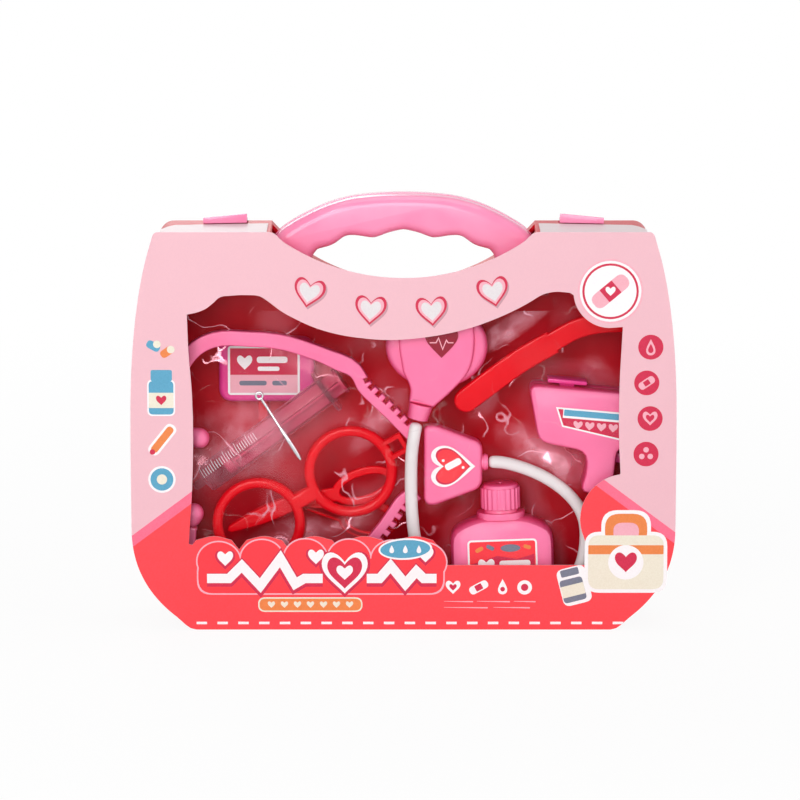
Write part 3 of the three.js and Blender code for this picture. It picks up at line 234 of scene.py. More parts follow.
def joined(name, *pieces):
    """Pieces as one object of the given name."""
    choose(*pieces)
    if len(pieces) > 1:
        bpy.ops.object.join()
    pieces[0].name = name
    return pieces[0]


def combined(obj, operation, others):
    for other in others:
        modified(obj, "BOOLEAN", operation=operation, solver="EXACT", object=other)
        bpy.data.objects.remove(other)
    return obj


def carve(obj, *cutters):
    return combined(obj, "DIFFERENCE", cutters)


def fused(obj, *others):
    return combined(obj, "UNION", others)


def dress(obj, material):
    """Gives an object one finish all over."""
    obj.data.materials.clear()
    obj.data.materials.append(materials[material])
    for face in obj.data.polygons:
        face.material_index = 0


def finished(obj, body, material):
    """Gives a piece its finish and makes it ride on its body."""
    dress(obj, material)
    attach(obj, body)


def body_of(node):
    """The body that a node rides on, from the record."""
    bodies = frame["record"]["behaviour"]["bodies"]
    return next(body for body, nodes in bodies.items() if node in nodes)


def stands_for(node, obj, material):
    """Finishes a piece and puts it in its node's place, on the node's body."""
    finished(obj, body_of(node), material)
    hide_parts(node)


# Outlines: lists of (x, z) in metres, counterclockwise seen from the front

def oval(radius_x, radius_z=None, steps=40):
    """A circle, or an oval where two radii are given."""
    tall = radius_x if radius_z is None else radius_z
    turns = [2 * math.pi * i / steps for i in range(steps)]
    return [(radius_x * math.cos(t), tall * math.sin(t)) for t in turns]


def box_outline(width, height):
    x, z = width / 2, height / 2
    return [(-x, -z), (x, -z), (x, z), (-x, z)]


def rounded(points, radius, steps=6):
    """Rounds the corners of an outline with quadratic curves."""
    result = []
    for i, corner in enumerate(points):
        c = Vector(corner)
        before = Vector(points[i - 1]) - c
        after = Vector(points[(i + 1) % len(points)]) - c
        reach = min(radius, before.length / 2, after.length / 2)
        start = c + before.normalized() * reach
        end = c + after.normalized() * reach
        for k in range(steps + 1):
            t = k / steps
            result.append(tuple(start * (1 - t) ** 2 + c * 2 * t * (1 - t) + end * t * t))
    return result


def bar(width, height, radius=None):
    return rounded(box_outline(width, height), min(width, height) / 2 if radius is None else radius)


def heart(width, height, steps=24):
    """A heart that stands on its tip, from the usual sum of cosines."""
    half = []
    for k in range(steps + 1):
        t = math.pi * k / steps
        z = (13 * math.cos(t) - 5 * math.cos(2 * t) - 2 * math.cos(3 * t) - math.cos(4 * t)) / 29
        half.append((math.sin(t) ** 2.1 * width / 2, (z + 0.09) * height))
    return [(-x, z) for x, z in half] + [(x, z) for x, z in reversed(half[1:-1])]


def drop(width, height, steps=24):
    """A drop with its point at the top."""
    turns = [2 * math.pi * k / steps for k in range(steps)]
    return [(-math.sin(t) * math.sin(t / 2) ** 1.5 * width * 0.6, math.cos(t) * height / 2) for t in turns]


def stroke(points, width):
    """An open line drawn with a pen of even width."""
    line = [Vector(p) for p in points]
    sides = []
    for i, p in enumerate(line):
        a = (p - line[i - 1]).normalized() if i else (line[1] - p).normalized()
        b = (line[i + 1] - p).normalized() if i < len(line) - 1 else a
        along = (a + b).normalized()
        reach = width / 2 / max(along.dot(a), 0.45)
        across = Vector((-along.y, along.x)) * reach
        sides.append((tuple(p - across), tuple(p + across)))
    return [s[0] for s in sides] + [s[1] for s in reversed(sides)]


def moved(points, x, z, turn=0.0):
    """Turns an outline about its middle and then moves it."""
    c, s = math.cos(turn), math.sin(turn)
    return [(x + px * c - pz * s, z + px * s + pz * c) for px, pz in points]


def area(points):
    """Area of an outline, negative where it runs clockwise."""
    total = 0
    for i, (x, z) in enumerate(points):
        px, pz = points[i - 1]
        total += px * z - x * pz
    return total / 2


def inset(points, distance):
    """Moves an outline inwards by an even distance."""
    result = []
    for i, point in enumerate(points):
        p = Vector(point)
        a = (p - Vector(points[i - 1])).normalized()
        b = (Vector(points[(i + 1) % len(points)]) - p).normalized()
        inward = Vector((-(a.y + b.y), a.x + b.x)).normalized()
        lean = max(inward.dot(Vector((-a.y, a.x))), 0.5)
        result.append(tuple(p + inward * distance / lean))
    return result


def refined_loop(points, steps=4, corner_degrees=38):
    """Draws a smooth curve through an outline's points, apart from its sharp corners."""
    n = len(points)
    flat = [Vector(p) for p in points]
    corner = []
    for i in range(n):
        a = flat[i] - flat[i - 1]
        b = flat[(i + 1) % n] - flat[i]
        corner.append(a.length > 0 and b.length > 0 and a.angle(b) > math.radians(corner_degrees))
    result = []
    for i in range(n):
        p, q = flat[i], flat[(i + 1) % n]
        length = (q - p).length
        before = flat[i - 1] if not corner[i] else p * 2 - q
        after = flat[(i + 2) % n] if not corner[(i + 1) % n] else q * 2 - p
        into = tangent(before, p, q) * length
        out = tangent(p, q, after) * length
        for k in range(steps):
            t = k / steps
            h = (2 * t ** 3 - 3 * t ** 2 + 1, t ** 3 - 2 * t ** 2 + t,
                 -2 * t ** 3 + 3 * t ** 2, t ** 3 - t ** 2)
            result.append(tuple(p * h[0] + into * h[1] + q * h[2] + out * h[3]))
    return result


def tangent(before, middle, after, uneven=3):
    """Direction of a curve at its middle point: a long straight side keeps its own direction."""
    a, b = middle - before, after - middle
    if a.length > uneven * b.length:
        return a.normalized()
    if b.length > uneven * a.length:
        return b.normalized()
    return (a / a.length_squared + b / b.length_squared).normalized()


def thinned(points, least=0.15 * MM, straight=0.3, sharp=130):
    """Drops an outline's points that lie on each other, on a straight stretch or on a barb."""
    flat = [Vector(p) for p in points]
    changed = True
    while changed and len(flat) > 3:
        changed = False
        kept = []
        for i, p in enumerate(flat):
            a = p - (kept[-1] if kept else flat[i - 1])
            b = flat[(i + 1) % len(flat)] - p
            if a.length < least or (b.length < least and i == len(flat) - 1):
                changed = True
                continue
            turn = math.degrees(a.angle(b)) if b.length > 0 else 0
            if b.length > least and (turn < straight or turn > sharp):
                changed = True
                continue
            kept.append(p)
        flat = kept
    return [tuple(p) for p in flat]


def section(node, y=None):
    """Outlines of a node where a plane at y cuts it, the largest first."""
    low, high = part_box(node)
    cut_y = (low.y + high.y) / 2 if y is None else y
    obj = copied(node, "section")
    edit_all(obj)
    bpy.ops.mesh.remove_doubles(threshold=WELD)
    bpy.ops.mesh.bisect(plane_co=(0, cut_y, 0), plane_no=(0, 1, 0), clear_inner=True, clear_outer=True)
    object_mode()
    mesh = obj.data
    nearby = {v.index: [] for v in mesh.vertices}
    for edge in mesh.edges:
        a, b = edge.vertices
        nearby[a].append(b)
        nearby[b].append(a)
    loops = []
    left = {i for i, near in nearby.items() if len(near) == 2}
    while left:
        start = left.pop()
        loop = [start]
        here = nearby[start][0]
        while here in left:
            left.remove(here)
            loop.append(here)
            here = next((n for n in nearby[here] if n in left), start)
        if len(loop) > 2:
            loops.append([(mesh.vertices[i].co.x, mesh.vertices[i].co.z) for i in loop])
    bpy.data.objects.remove(obj)
    loops = [thinned(p if area(p) > 0 else p[::-1]) for p in loops]
    return sorted((p for p in loops if len(p) > 2), key=lambda p: -abs(area(p)))


def smooth_section(node, y=None):
    """A section's outlines with smooth curves between their sharp corners."""
    return [thinned(refined_loop(p)) for p in section(node, y)]


# Solids

def meshed(name, curve):
    """A new curve turned into a mesh."""
    choose(placed(name, curve))
    bpy.ops.object.convert(target="MESH")
    return bpy.context.view_layer.objects.active


def moulding(name, loops, front, back, edge=0.0, segments=4, grow=0.0):
    """A plate with rounded edges between two depths, from outlines in the XZ plane."""
    curve = bpy.data.curves.new(name, "CURVE")
    curve.dimensions = "2D"
    curve.fill_mode = "BOTH"
    curve.extrude = (back - front) / 2 - edge
    curve.bevel_depth = edge
    curve.bevel_resolution = segments
    curve.offset = grow - edge
    for loop in loops:
        points = thinned(loop, sharp=170)
        spline = curve.splines.new("POLY")
        spline.points.add(len(points) - 1)
        for target, (x, z) in zip(spline.points, points):
            target.co = (x, z, 0, 1)
        spline.use_cyclic_u = True
    obj = meshed(name, curve)
    obj.data.transform(Matrix.Translation((0, (front + back) / 2, 0)) @ Matrix.Rotation(math.pi / 2, 4, "X"))
    cleaned(obj, FINE_WELD, flat_degrees=0.2)
    return smooth(obj)


def plate_of(node, name, edge=0.0, segments=4):
    """A node's outline as a plate with smooth curves and rounded edges, in the node's depth."""
    low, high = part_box(node)
    return moulding(name, smooth_section(node), low.y, high.y, edge, segments)


def block(low, high):
    """A box between two corners."""
    low, high = Vector(low), Vector(high)
    bpy.ops.object.select_all(action="DESELECT")
    bpy.ops.mesh.primitive_cube_add(size=1, location=(low + high) / 2, scale=high - low)
    bpy.ops.object.transform_apply(location=True, rotation=True, scale=True)
    return bpy.context.object


def rod(radius, start, end, sides=40):
    """A round rod between two points."""
    start, end = Vector(start), Vector(end)
    bpy.ops.object.select_all(action="DESELECT")
    bpy.ops.mesh.primitive_cylinder_add(
        vertices=sides, radius=radius, depth=(end - start).length, location=(start + end) / 2,
        rotation=(end - start).to_track_quat("Z", "Y").to_euler())
    bpy.ops.object.transform_apply(location=True, rotation=True, scale=True)
    return bpy.context.object


def line_mesh(name, points):
    """An open line of edges through points."""
    curve = bpy.data.curves.new(name, "CURVE")
    curve.dimensions = "3D"
    spline = curve.splines.new("POLY")
    spline.points.add(len(points) - 1)
    for target, p in zip(spline.points, points):
        target.co = (*p, 1)
    return meshed(name, curve)


def turned(name, profile, place, direction, sides=48):
    """A lathed piece: its profile is radius and height along its axis, in millimetres."""
    obj = line_mesh(name, [(radius * MM, 0, height * MM) for radius, height in profile])
    edit_all(obj)
    bpy.ops.mesh.spin(steps=sides, angle=2 * math.pi, center=(0, 0, 0), axis=(0, 0, 1))
    bpy.ops.mesh.select_all(action="SELECT")
    bpy.ops.mesh.remove_doubles(threshold=FINE_WELD)
    bpy.ops.mesh.normals_make_consistent(inside=False)
    object_mode()
    turn = Vector(direction).to_track_quat("Z", "Y").to_matrix().to_4x4()
    obj.data.transform(Matrix.Translation(place) @ turn)
    return smooth(obj, 40)


def refined(node, name, edge=0.0, segments=3, degrees=32):
    """A node's own form with its edges rounded."""
    obj = cleaned(copied(node, name))
    if edge:
        modified(obj, "BEVEL", width=edge, segments=segments, limit_method="ANGLE",
                 angle_limit=math.radians(30), use_clamp_overlap=True, harden_normals=False)
    return smooth(obj, degrees)


def sculpted(node, name, rounds=2, swell=0.0):
    """A node's own round form drawn as a smooth surface, let out again by what smoothing takes in."""
    obj = cleaned(copied(node, name))
    modified(obj, "SUBSURF", levels=rounds, render_levels=rounds)
    if swell:
        modified(obj, "DISPLACE", strength=swell, mid_level=0)
    return smooth(obj, 50)


# Materials

def add_node(tree, kind, inputs=None, **settings):
    """Adds a node. Each input is given a value, a socket, or a node whose first output it takes."""
    node = tree.nodes.new("ShaderNode" + kind)
    for key, value in settings.items():
        setattr(node, key, value)
    for key, value in (inputs or {}).items():
        if isinstance(value, bpy.types.Node):
            value = value.outputs[0]
        if isinstance(value, bpy.types.NodeSocket):
            tree.links.new(value, node.inputs[key])
        else:
            node.inputs[key].default_value = value
    return node


def new_material(name):
    """A bare material, its tree, and the place of each point on the piece itself."""
    material = bpy.data.materials.new(name)
    material.use_nodes = True
    tree = material.node_tree
    tree.nodes.clear()
    return material, tree, add_node(tree, "TexCoord").outputs["Object"]


def moulded_plastic(name, colour, shade, roughness, coat=0.0, painted_edge_shade=None, mirror=0.25):
    """Injection moulded plastic: even colour with faint cloudy flow marks, and a fine skin from the
    mould. Where a shade colour is given, painted shade deepens the colour where the surface turns away from
    view."""
    material, tree, place = new_material(name)
    flow = add_node(tree, "TexNoise", {"Vector": place, "Scale": 1 / FLOW_MARK})
    clouds = add_node(tree, "MapRange", {"Value": flow, "From Min": 0.3, "From Max": 0.7})
    body = add_node(tree, "Mix", {0: clouds, 6: rgba(colour), 7: rgba(shade)}, data_type="RGBA").outputs[2]
    # Painted shade: the colour deepens towards where the surface turns away from view
    if painted_edge_shade:
        slope = add_node(tree, "LayerWeight", {"Blend": 0.5}).outputs["Facing"]
        share = add_node(tree, "MapRange", {
            "Value": slope, "From Min": 0.12, "From Max": 0.65, "To Max": 0.95})
        body = add_node(tree, "Mix", {0: share, 6: body, 7: rgba(painted_edge_shade)}, data_type="RGBA").outputs[2]
    skin = add_node(tree, "TexNoise", {"Vector": place, "Scale": 1 / SKIN_GRAIN, "Detail": 3})
    sheen = add_node(tree, "MapRange", {
        "Value": skin, "From Min": 0.3, "From Max": 0.7,
        "To Min": roughness - 0.05, "To Max": roughness + 0.06})
    bump = add_node(tree, "Bump", {"Strength": 0.25, "Distance": SKIN_DEPTH, "Height": skin})
    shader = add_node(tree, "BsdfPrincipled", {
        "Base Color": body, "Roughness": sheen, "Normal": bump, "Specular IOR Level": mirror,
        "Coat Weight": coat, "Coat Roughness": 0.08})
    add_node(tree, "OutputMaterial", {"Surface": shader})
    return material


def printed(name, colour, shade):
    """Offset ink under a thin lacquer on coated board: flat colour with a faint fibre mottle and a
    soft shine."""
    material, tree, place = new_material(name)
    fibre = add_node(tree, "TexNoise", {"Vector": place, "Scale": 1 / INK_MOTTLE, "Detail": 3})
    tone = add_node(tree, "MapRange", {"Value": fibre, "From Min": 0.35, "From Max": 0.65})
    mottled = add_node(tree, "Mix", {0: tone, 6: rgba(colour), 7: rgba(shade)}, data_type="RGBA")
    shader = add_node(tree, "BsdfPrincipled", {
        "Base Color": mottled.outputs[2], "Roughness": 0.38, "Specular IOR Level": 0.3})
    add_node(tree, "OutputMaterial", {"Surface": shader})
    return material


def bright_metal(name, colour, roughness):
    """Plated metal: the colour of its mirror, with fine lines left by polishing."""
    material, tree, place = new_material(name)
    lines = add_node(tree, "TexNoise", {"Vector": place, "Scale": 1 / POLISH_GRAIN, "Detail": 4})
    sheen = add_node(tree, "MapRange", {
        "Value": lines, "From Min": 0.3, "From Max": 0.7,
        "To Min": roughness - 0.06, "To Max": roughness + 0.1})
    shader = add_node(tree, "BsdfPrincipled", {
        "Base Color": rgba(colour), "Metallic": 1, "Roughness": sheen})
    add_node(tree, "OutputMaterial", {"Surface": shader})
    return material


def soft_patch(tree, place, x, z, half_x, half_z, turn):
    """A mask that fades out from a place on the front, given in millimetres."""
    local = add_node(tree, "Mapping", {
        "Vector": place, "Location": (x * MM, 0, z * MM), "Rotation": (0, -turn, 0),
        "Scale": (half_x * MM, 1, half_z * MM)}, vector_type="TEXTURE")
    return add_node(tree, "TexGradient", {"Vector": local}, gradient_type="SPHERICAL").outputs["Fac"]


def clear_film(name, least, patch, slope, painted_crease_highlight, tint, mirror=0.35, roughness=0.12, patches=(),
               rim=(0.03, 0.42)):
    """Clear plastic: a see-through body that lets the lamps pass. Its skin shows a little face on
    (least), more in hazy patches, more where it slopes away, as painted highlights along thin
    curling lines, and as painted reflections in given patches."""
    material, tree, place = new_material(name)
    ripple = add_node(tree, "TexNoise", {"Vector": place, "Scale": 1 / FILM_RIPPLE, "Detail": 1.5})
    bump = add_node(tree, "Bump", {"Strength": 1, "Distance": FILM_RIPPLE_DEPTH, "Height": ripple})
    edge = add_node(tree, "LayerWeight", {"Blend": 0.3, "Normal": bump})
    sloping = add_node(tree, "MapRange", {
        "Value": edge.outputs["Facing"], "From Min": rim[0], "From Max": rim[1], "To Max": slope})
    haze = add_node(tree, "TexNoise", {"Vector": place, "Scale": 1 / FILM_HAZE, "Detail": 1})
    hazy = add_node(tree, "MapRange", {"Value": haze, "From Min": 0.5, "From Max": 0.75, "To Max": patch})
    # Painted highlights: thin, broken, curling lines where the pale skin shows, standing in for lamps caught
    # in wrinkles of the film
    highlight_line_noise = add_node(tree, "TexNoise", {"Vector": place, "Scale": 1 / FILM_HIGHLIGHT_LINE, "Roughness": 0.4})
    off = add_node(tree, "Math", {0: highlight_line_noise, 1: 0.5}, operation="SUBTRACT")
    off = add_node(tree, "Math", {0: off}, operation="ABSOLUTE")
    thin = add_node(tree, "MapRange", {"Value": off, "From Max": 0.007, "To Min": 1, "To Max": 0})
    gaps = add_node(tree, "TexNoise", {"Vector": place, "Scale": 1 / FILM_HIGHLIGHT_LINE_LENGTH, "Detail": 1})
    broken = add_node(tree, "MapRange", {"Value": gaps, "From Min": 0.5, "From Max": 0.6, "To Max": painted_crease_highlight})
    painted_highlight_lines = add_node(tree, "Math", {0: thin, 1: broken}, operation="MULTIPLY")
    shares = [sloping, hazy, painted_highlight_lines]
    clouds = add_node(tree, "TexNoise", {"Vector": place, "Scale": 1 / FILM_CLOUD})
    cloudy = add_node(tree, "MapRange", {
        "Value": clouds, "From Min": 0.35, "From Max": 0.65, "To Min": 0.25})
    # Painted reflections: in the given patches the pale skin shows more, as if it reflected the lamps
    # broadly
    for strength, *where in patches:
        painted_shine = add_node(tree, "Math", {0: cloudy, 1: strength}, operation="MULTIPLY")
        mask = soft_patch(tree, place, *where)
        shares.append(add_node(tree, "Math", {0: mask, 1: painted_shine}, operation="MULTIPLY"))
    cover = least
    for share in shares:
        cover = add_node(tree, "Math", {0: cover, 1: share}, operation="ADD")
    cover = add_node(tree, "Math", {0: cover, 1: 1}, operation="MINIMUM")
    rays = add_node(tree, "LightPath").outputs
    passing = add_node(
        tree, "Math", {0: rays["Is Shadow Ray"], 1: rays["Is Diffuse Ray"]}, operation="MAXIMUM")
    seen = add_node(tree, "Math", {0: 1, 1: passing}, operation="SUBTRACT")
    cover = add_node(tree, "Math", {0: cover, 1: seen}, operation="MULTIPLY")
    skin = add_node(tree, "BsdfPrincipled", {
        "Base Color": rgba(tint), "Metallic": mirror, "Roughness": roughness, "Normal": bump})
    clear = add_node(tree, "BsdfTransparent")
    add_node(tree, "OutputMaterial", {
        "Surface": add_node(tree, "MixShader", {0: cover, 1: clear, 2: skin})})
    return material


def printed_board():
    """The card's print: pale pink, with a red foot below two slanting lines and a hot pink stripe
    along them. Where the board is cut, its white core shows."""
    material, tree, place = new_material("coated_printed_board")
    x, _, z = add_node(tree, "SeparateXYZ", {0: place}).outputs
    line = FOOT_TOP
    for slope, height in ((FOOT_SLOPE, FOOT_LEFT), (-FOOT_SLOPE, FOOT_RIGHT)):
        slant = add_node(tree, "Math", {0: x, 1: slope, 2: height}, operation="MULTIPLY_ADD")
        line = add_node(tree, "Math", {0: slant, 1: line}, operation="MINIMUM")
    under = add_node(tree, "Math", {0: z, 1: line}, operation="LESS_THAN")
    raised = add_node(tree, "Math", {0: line, 1: FOOT_STRIPE}, operation="ADD")
    stripe = add_node(tree, "Math", {0: z, 1: raised}, operation="LESS_THAN")
    normal = add_node(tree, "NewGeometry").outputs["Normal"]
    facing = add_node(tree, "SeparateXYZ", {0: normal}).outputs["Y"]
    front = add_node(tree, "Math", {0: facing}, operation="ABSOLUTE")
    cut = add_node(tree, "Math", {0: front, 1: 0.5}, operation="LESS_THAN")

    fibre = add_node(tree, "TexNoise", {"Vector": place, "Scale": 1 / BOARD_MOTTLE, "Detail": 3})
    tone = add_node(tree, "MapRange", {"Value": fibre, "From Min": 0.35, "From Max": 0.65})
    colour = None
    for mask, face, shade in (
            (None, PINK_CARD, "EDB9C4"), (stripe, PRINT_HOT_PINK, "FA6687"),
            (under, PRINT_RED, "F93741"), (cut, BOARD_CORE, "F8DCE2")):
        over = add_node(tree, "Mix", {0: tone, 6: rgba(face), 7: rgba(shade)}, data_type="RGBA").outputs[2]
        if mask:
            over = add_node(tree, "Mix", {0: mask, 6: colour, 7: over}, data_type="RGBA").outputs[2]
        colour = over
    bump = add_node(tree, "Bump", {"Strength": 0.15, "Distance": BOARD_FIBRE_DEPTH, "Height": fibre})
    shader = add_node(tree, "BsdfPrincipled", {"Base Color": colour, "Roughness": 0.36, "Normal": bump})
    add_node(tree, "OutputMaterial", {"Surface": shader})
    return material


def build_materials():
    made = {"ink_" + name: printed("ink_" + name, colour, shade) for name, colour, shade in INKS}
    made.update({
        # Polypropylene shells, smooth and a little waxy, deep red
        "shell": moulded_plastic("moulded_polypropylene_red", RED_SHELL, "C8081E", 0.32, mirror=0.15),
        # Polystyrene toys, hard and glossy, brighter red
        "red_toy": moulded_plastic(
            "glossy_polystyrene_red", RED_TOY, "E60A1C", 0.22, coat=0.12, mirror=0.15),
        # Polypropylene toys, satin pink with soft highlights, with painted shade: deeper pink where they
        # turn away from view
        "pink_toy": moulded_plastic(
            "satin_polypropylene_pink", PINK_TOY, "FF7AA8", 0.3, coat=0.15, painted_edge_shade="E63C74"),
        # The handle and latches, paler and glossier
        "handle": moulded_plastic(
            "glossy_polypropylene_pale_pink", PINK_HANDLE, "FF8CB8", 0.2, coat=0.5),
        # Bright pink box of the gauge, with the gun's trigger and button, deeper than the toys
        "deep_pink": moulded_plastic("satin_polypropylene_deep_pink", "F2479A", "EA3E90", 0.3, coat=0.2),
        # White-cored board with its print, under a thin lacquer that shines softly
        "card": printed_board(),
        # The same board's flaps, with no print on them
        "flap": printed("coated_board_plain_side", "E3D0D3", "DFCBCE"),
        # Thin clear sheet behind the card, nearly flat, with faint painted highlights in thin curling lines
        "window": clear_film("clear_polyester_sheet", 0.0, 0.012, 0.06, 0.05, "FFF4F6"),
        # Vacuum formed tray: hazy in random patches, with painted highlights in thin curling lines and
        # painted reflections where it shines broadly
        "tray": clear_film(
            "vacuum_formed_clear_vinyl", 0.0, 0.14, 0.42, 0.75, "FFB0C2", patches=TRAY_PAINTED_SHINE),
        # Clear toy polystyrene of the syringe, brighter along its sides
        "clear_toy": clear_film(
            "clear_polystyrene_pinkish", 0.1, 0.02, 0.9, 0.0, "FF7C94", 0.1, 0.1, rim=(0.3, 0.75)),
        # Plunger and seal seen through the barrel, a milky rose with a satin face
        "milky_rose": moulded_plastic("milky_polystyrene_rose", "C83C5C", "BC3454", 0.3, coat=0.1),
        # Soft tube and diaphragm of the stethoscope, extruded vinyl with a dull shine
        "vinyl": moulded_plastic("soft_extruded_vinyl_white", VINYL_WHITE, "E6DFE0", 0.35),
        # The gun's lens, dark and polished
        "lens": moulded_plastic("black_polystyrene_lens", "26262C", "202026", 0.12),
        # Pins and screws, zinc plated with a grey shine
        "zinc": bright_metal("zinc_plated_steel", ZINC, 0.3),
        # The probe, plated and polished to a mirror
        "chrome": bright_metal("chrome_plated_steel", "D8D8DC", 0.14),
    })
    return made


materials = build_materials()


# Camera, floor and lights

def looked_at(tree):
    """One for rays from the camera, also off a mirror or through glass."""
    rays = add_node(tree, "LightPath").outputs
    mirrored = add_node(
        tree, "Math", {0: rays["Is Glossy Ray"], 1: rays["Is Transmission Ray"]}, operation="MAXIMUM")
    return add_node(tree, "Math", {0: rays["Is Camera Ray"], 1: mirrored}, operation="MAXIMUM")


def floor_material():
    """Matt white paper: it takes the object's shadow and shows as plain white further off."""
    material, tree, place = new_material("matt_white_paper")
    far = add_node(tree, "VectorMath", {0: place}, operation="LENGTH").outputs["Value"]
    share = add_node(tree, "MapRange", {
        "Value": far, "From Min": FLOOR_SHADOW, "From Max": FLOOR_PLAIN, "To Min": 0.93})
    shown = add_node(tree, "Math", {0: share, 1: looked_at(tree)}, operation="MULTIPLY")
    paper = add_node(tree, "BsdfDiffuse", {"Color": (0.95, 0.95, 0.95, 1)})
    white = add_node(tree, "Emission", {"Color": (1, 1, 1, 1), "Strength": 1})
    mix = add_node(tree, "MixShader", {0: shown, 1: paper, 2: white})
    add_node(tree, "OutputMaterial", {"Surface": mix})
    return material


def build_camera():
    """A camera that sees the case where the photograph has it, at the same scale."""
    target = Vector((
        (FRAME_SIDE_PX / 2 - CASE_MIDDLE_PX) / PIXELS_PER_MM * MM,
        cad_low.y,
        (CASE_BASE_PX - FRAME_SIDE_PX / 2) / PIXELS_PER_MM * MM / math.cos(CAMERA_ELEVATION)))
    back = Vector((0, -math.cos(CAMERA_ELEVATION), math.sin(CAMERA_ELEVATION)))
    data = bpy.data.cameras.new("camera")
    data.sensor_width = SENSOR
    data.lens = SENSOR * CAMERA_DISTANCE / (FRAME_SIDE_PX / PIXELS_PER_MM * MM)
    camera = placed("camera", data)
    camera.location = target + back * CAMERA_DISTANCE
    camera.rotation_euler = (-back).to_track_quat("-Z", "Y").to_euler()
    bpy.context.scene.camera = camera


def build_floor():
    """A wide flat floor, which is stage and no part of the case."""
    bpy.ops.object.select_all(action="DESELECT")
    bpy.ops.mesh.primitive_plane_add(size=FLOOR_SIDE, location=(0, 0, 0))
    floor = bpy.context.object
    floor.name = "floor"
    floor.data.materials.append(floor_material())


def build_lights():
    """Square soft boxes, each with its place, side and power, and a world that shows as white."""
    for name, place, size, power in (
            ("front_box", (-0.4, -2.1, 0.75), 1.3, 27.5),
            ("top_box", (0.1, 0.0, 1.9), 1.4, 11),
            ("side_box", (1.7, -0.9, 0.8), 1.0, 5),
            ("back_box", (-0.6, 2.0, 1.3), 1.2, 14),
            ("sparkle_box", (-0.45, -1.2, 1.15), 0.1, 1.1)):
        lamp = bpy.data.lights.new(name, "AREA")
        lamp.shape = "SQUARE"
        lamp.size = size
        lamp.energy = power
        box = placed(name, lamp)
        box.location = place
        box.rotation_euler = (LAMP_AIM - Vector(place)).to_track_quat("-Z", "Y").to_euler()

    world = bpy.data.worlds.new("studio")
    world.use_nodes = True
    tree = world.node_tree
    tree.nodes.clear()
    seen = add_node(tree, "Background", {"Color": (1, 1, 1, 1), "Strength": 1})
    lit = add_node(tree, "Background", {"Color": (1, 0.985, 0.99, 1), "Strength": 0.2})
    mix = add_node(tree, "MixShader", {0: looked_at(tree), 1: lit, 2: seen})
    add_node(tree, "OutputWorld", {"Surface": mix})
    bpy.context.scene.world = world
    bpy.context.scene.view_settings.view_transform = "Standard"


build_camera()
build_floor()
build_lights()


# Case

# Handle: half width between its feet, its rounding, and the gap and lower end of the shells' slots
FOOT_INNER = 50 * MM
HANDLE_ROUND = 5.5 * MM
SLOT_GAP = 0.5 * MM
SLOT_LOW = 192 * MM

# Hinge: radius of the knuckles and of their bore, the depth and half length of the groove that they
# turn in, and how far their webs stay off the ground
KNUCKLE = 2.2 * MM
BORE = 1.1 * MM
GROOVE = 3.2 * MM
GROOVE_REACH = 122 * MM
FOOT_GAP = 0.05 * MM

# Latches: radius of the barrel, width of the cheeks beside it, room to swing, and the bore's radius
# and its reach past the latch
BARREL = 1.6 * MM
CHEEK = 3 * MM
SWING = 4.6 * MM
LATCH_BORE = 1 * MM
LATCH_PIN = 2.1 * MM

# Back: radius of the screw bosses, how deep the screws sink, and the panel line's distance from the
# edge, its width, its depth and the least step between its points
BOSS = 4.2 * MM
SCREW_SINK = 0.9 * MM
PANEL_EDGE = 13 * MM
PANEL_LINE = 2.2 * MM
PANEL_DEPTH = 0.7 * MM
PANEL_STEP = 1.5 * MM

# Where the outline is taken of the lid, behind its face, and of the rear shell, behind its edge
LID_OUTLINE = 8 * MM
TUB_OUTLINE = 4.4 * MM

# Card: its thickness, and how far behind its face the flaps begin
BOARD = 0.6 * MM
FLAP_CUT = 0.7 * MM


def handle_slots(front, back):
    _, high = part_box("carry_handle")
    reach = high.x + SLOT_GAP
    inner = FOOT_INNER - SLOT_GAP
    return [block((ends[0], front, SLOT_LOW), (ends[1], back, high.z))
            for ends in ((-reach, -inner), (inner, reach))]


def knuckles():
    """Places of the hinge: for each side, its pin's middle, its half length, the half length of the
    lid's knuckle on it, and its y and z."""
    result = []
    for name in ("left", "right"):
        low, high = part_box("hinge_pin_" + name)
        half = (high.x - low.x) / 2
        y, z = (low.y + high.y) / 2, (low.z + high.z) / 2
        result.append(((low.x + high.x) / 2, half, half * 7 / 15, y, z))
    return result


def lid_shell():
    """The front shell: a frame of walls round the window, with a knuckle on each hinge pin."""
    low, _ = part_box("front_shell")
    back = knuckles()[0][3] - GAP / 2
    walls = smooth_section("front_shell", low.y + WALL + LID_OUTLINE)
    window = smooth_section("front_shell", low.y + WALL / 2)[1]
    shell = moulding("front_shell_moulding", walls[:1], low.y, back + LID_ROUND * 2, LID_ROUND)
    hollow = moulding("hollow", walls[1:2], low.y + WALL, back + 3 * OVER)
    opening = moulding("opening", [window], low.y - OVER, low.y + WALL + OVER)
    past = block((-1, back, -1), (1, 1, 1))
    handle_low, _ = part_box("carry_handle")
    carve(shell, hollow, opening, past, *handle_slots(handle_low.y - SLOT_GAP, back + OVER))
    for middle, half, length, y, z in knuckles():
        for end in (-1, 1):
            ends = sorted((middle + end * (length + GAP / 2), middle + end * (half + 2 * GAP)))
            carve(shell, block((ends[0], y - GROOVE, -OVER), (ends[1], back + OVER, WALL + OVER)))
        web = block((middle - length, y - GROOVE, FOOT_GAP), (middle + length, y, z))
        fused(shell, fused(rod(KNUCKLE, (middle - length, y, z), (middle + length, y, z)), web))
        carve(shell, rod(BORE, (middle - half, y, z), (middle + half, y, z)))
    return smooth(shell)


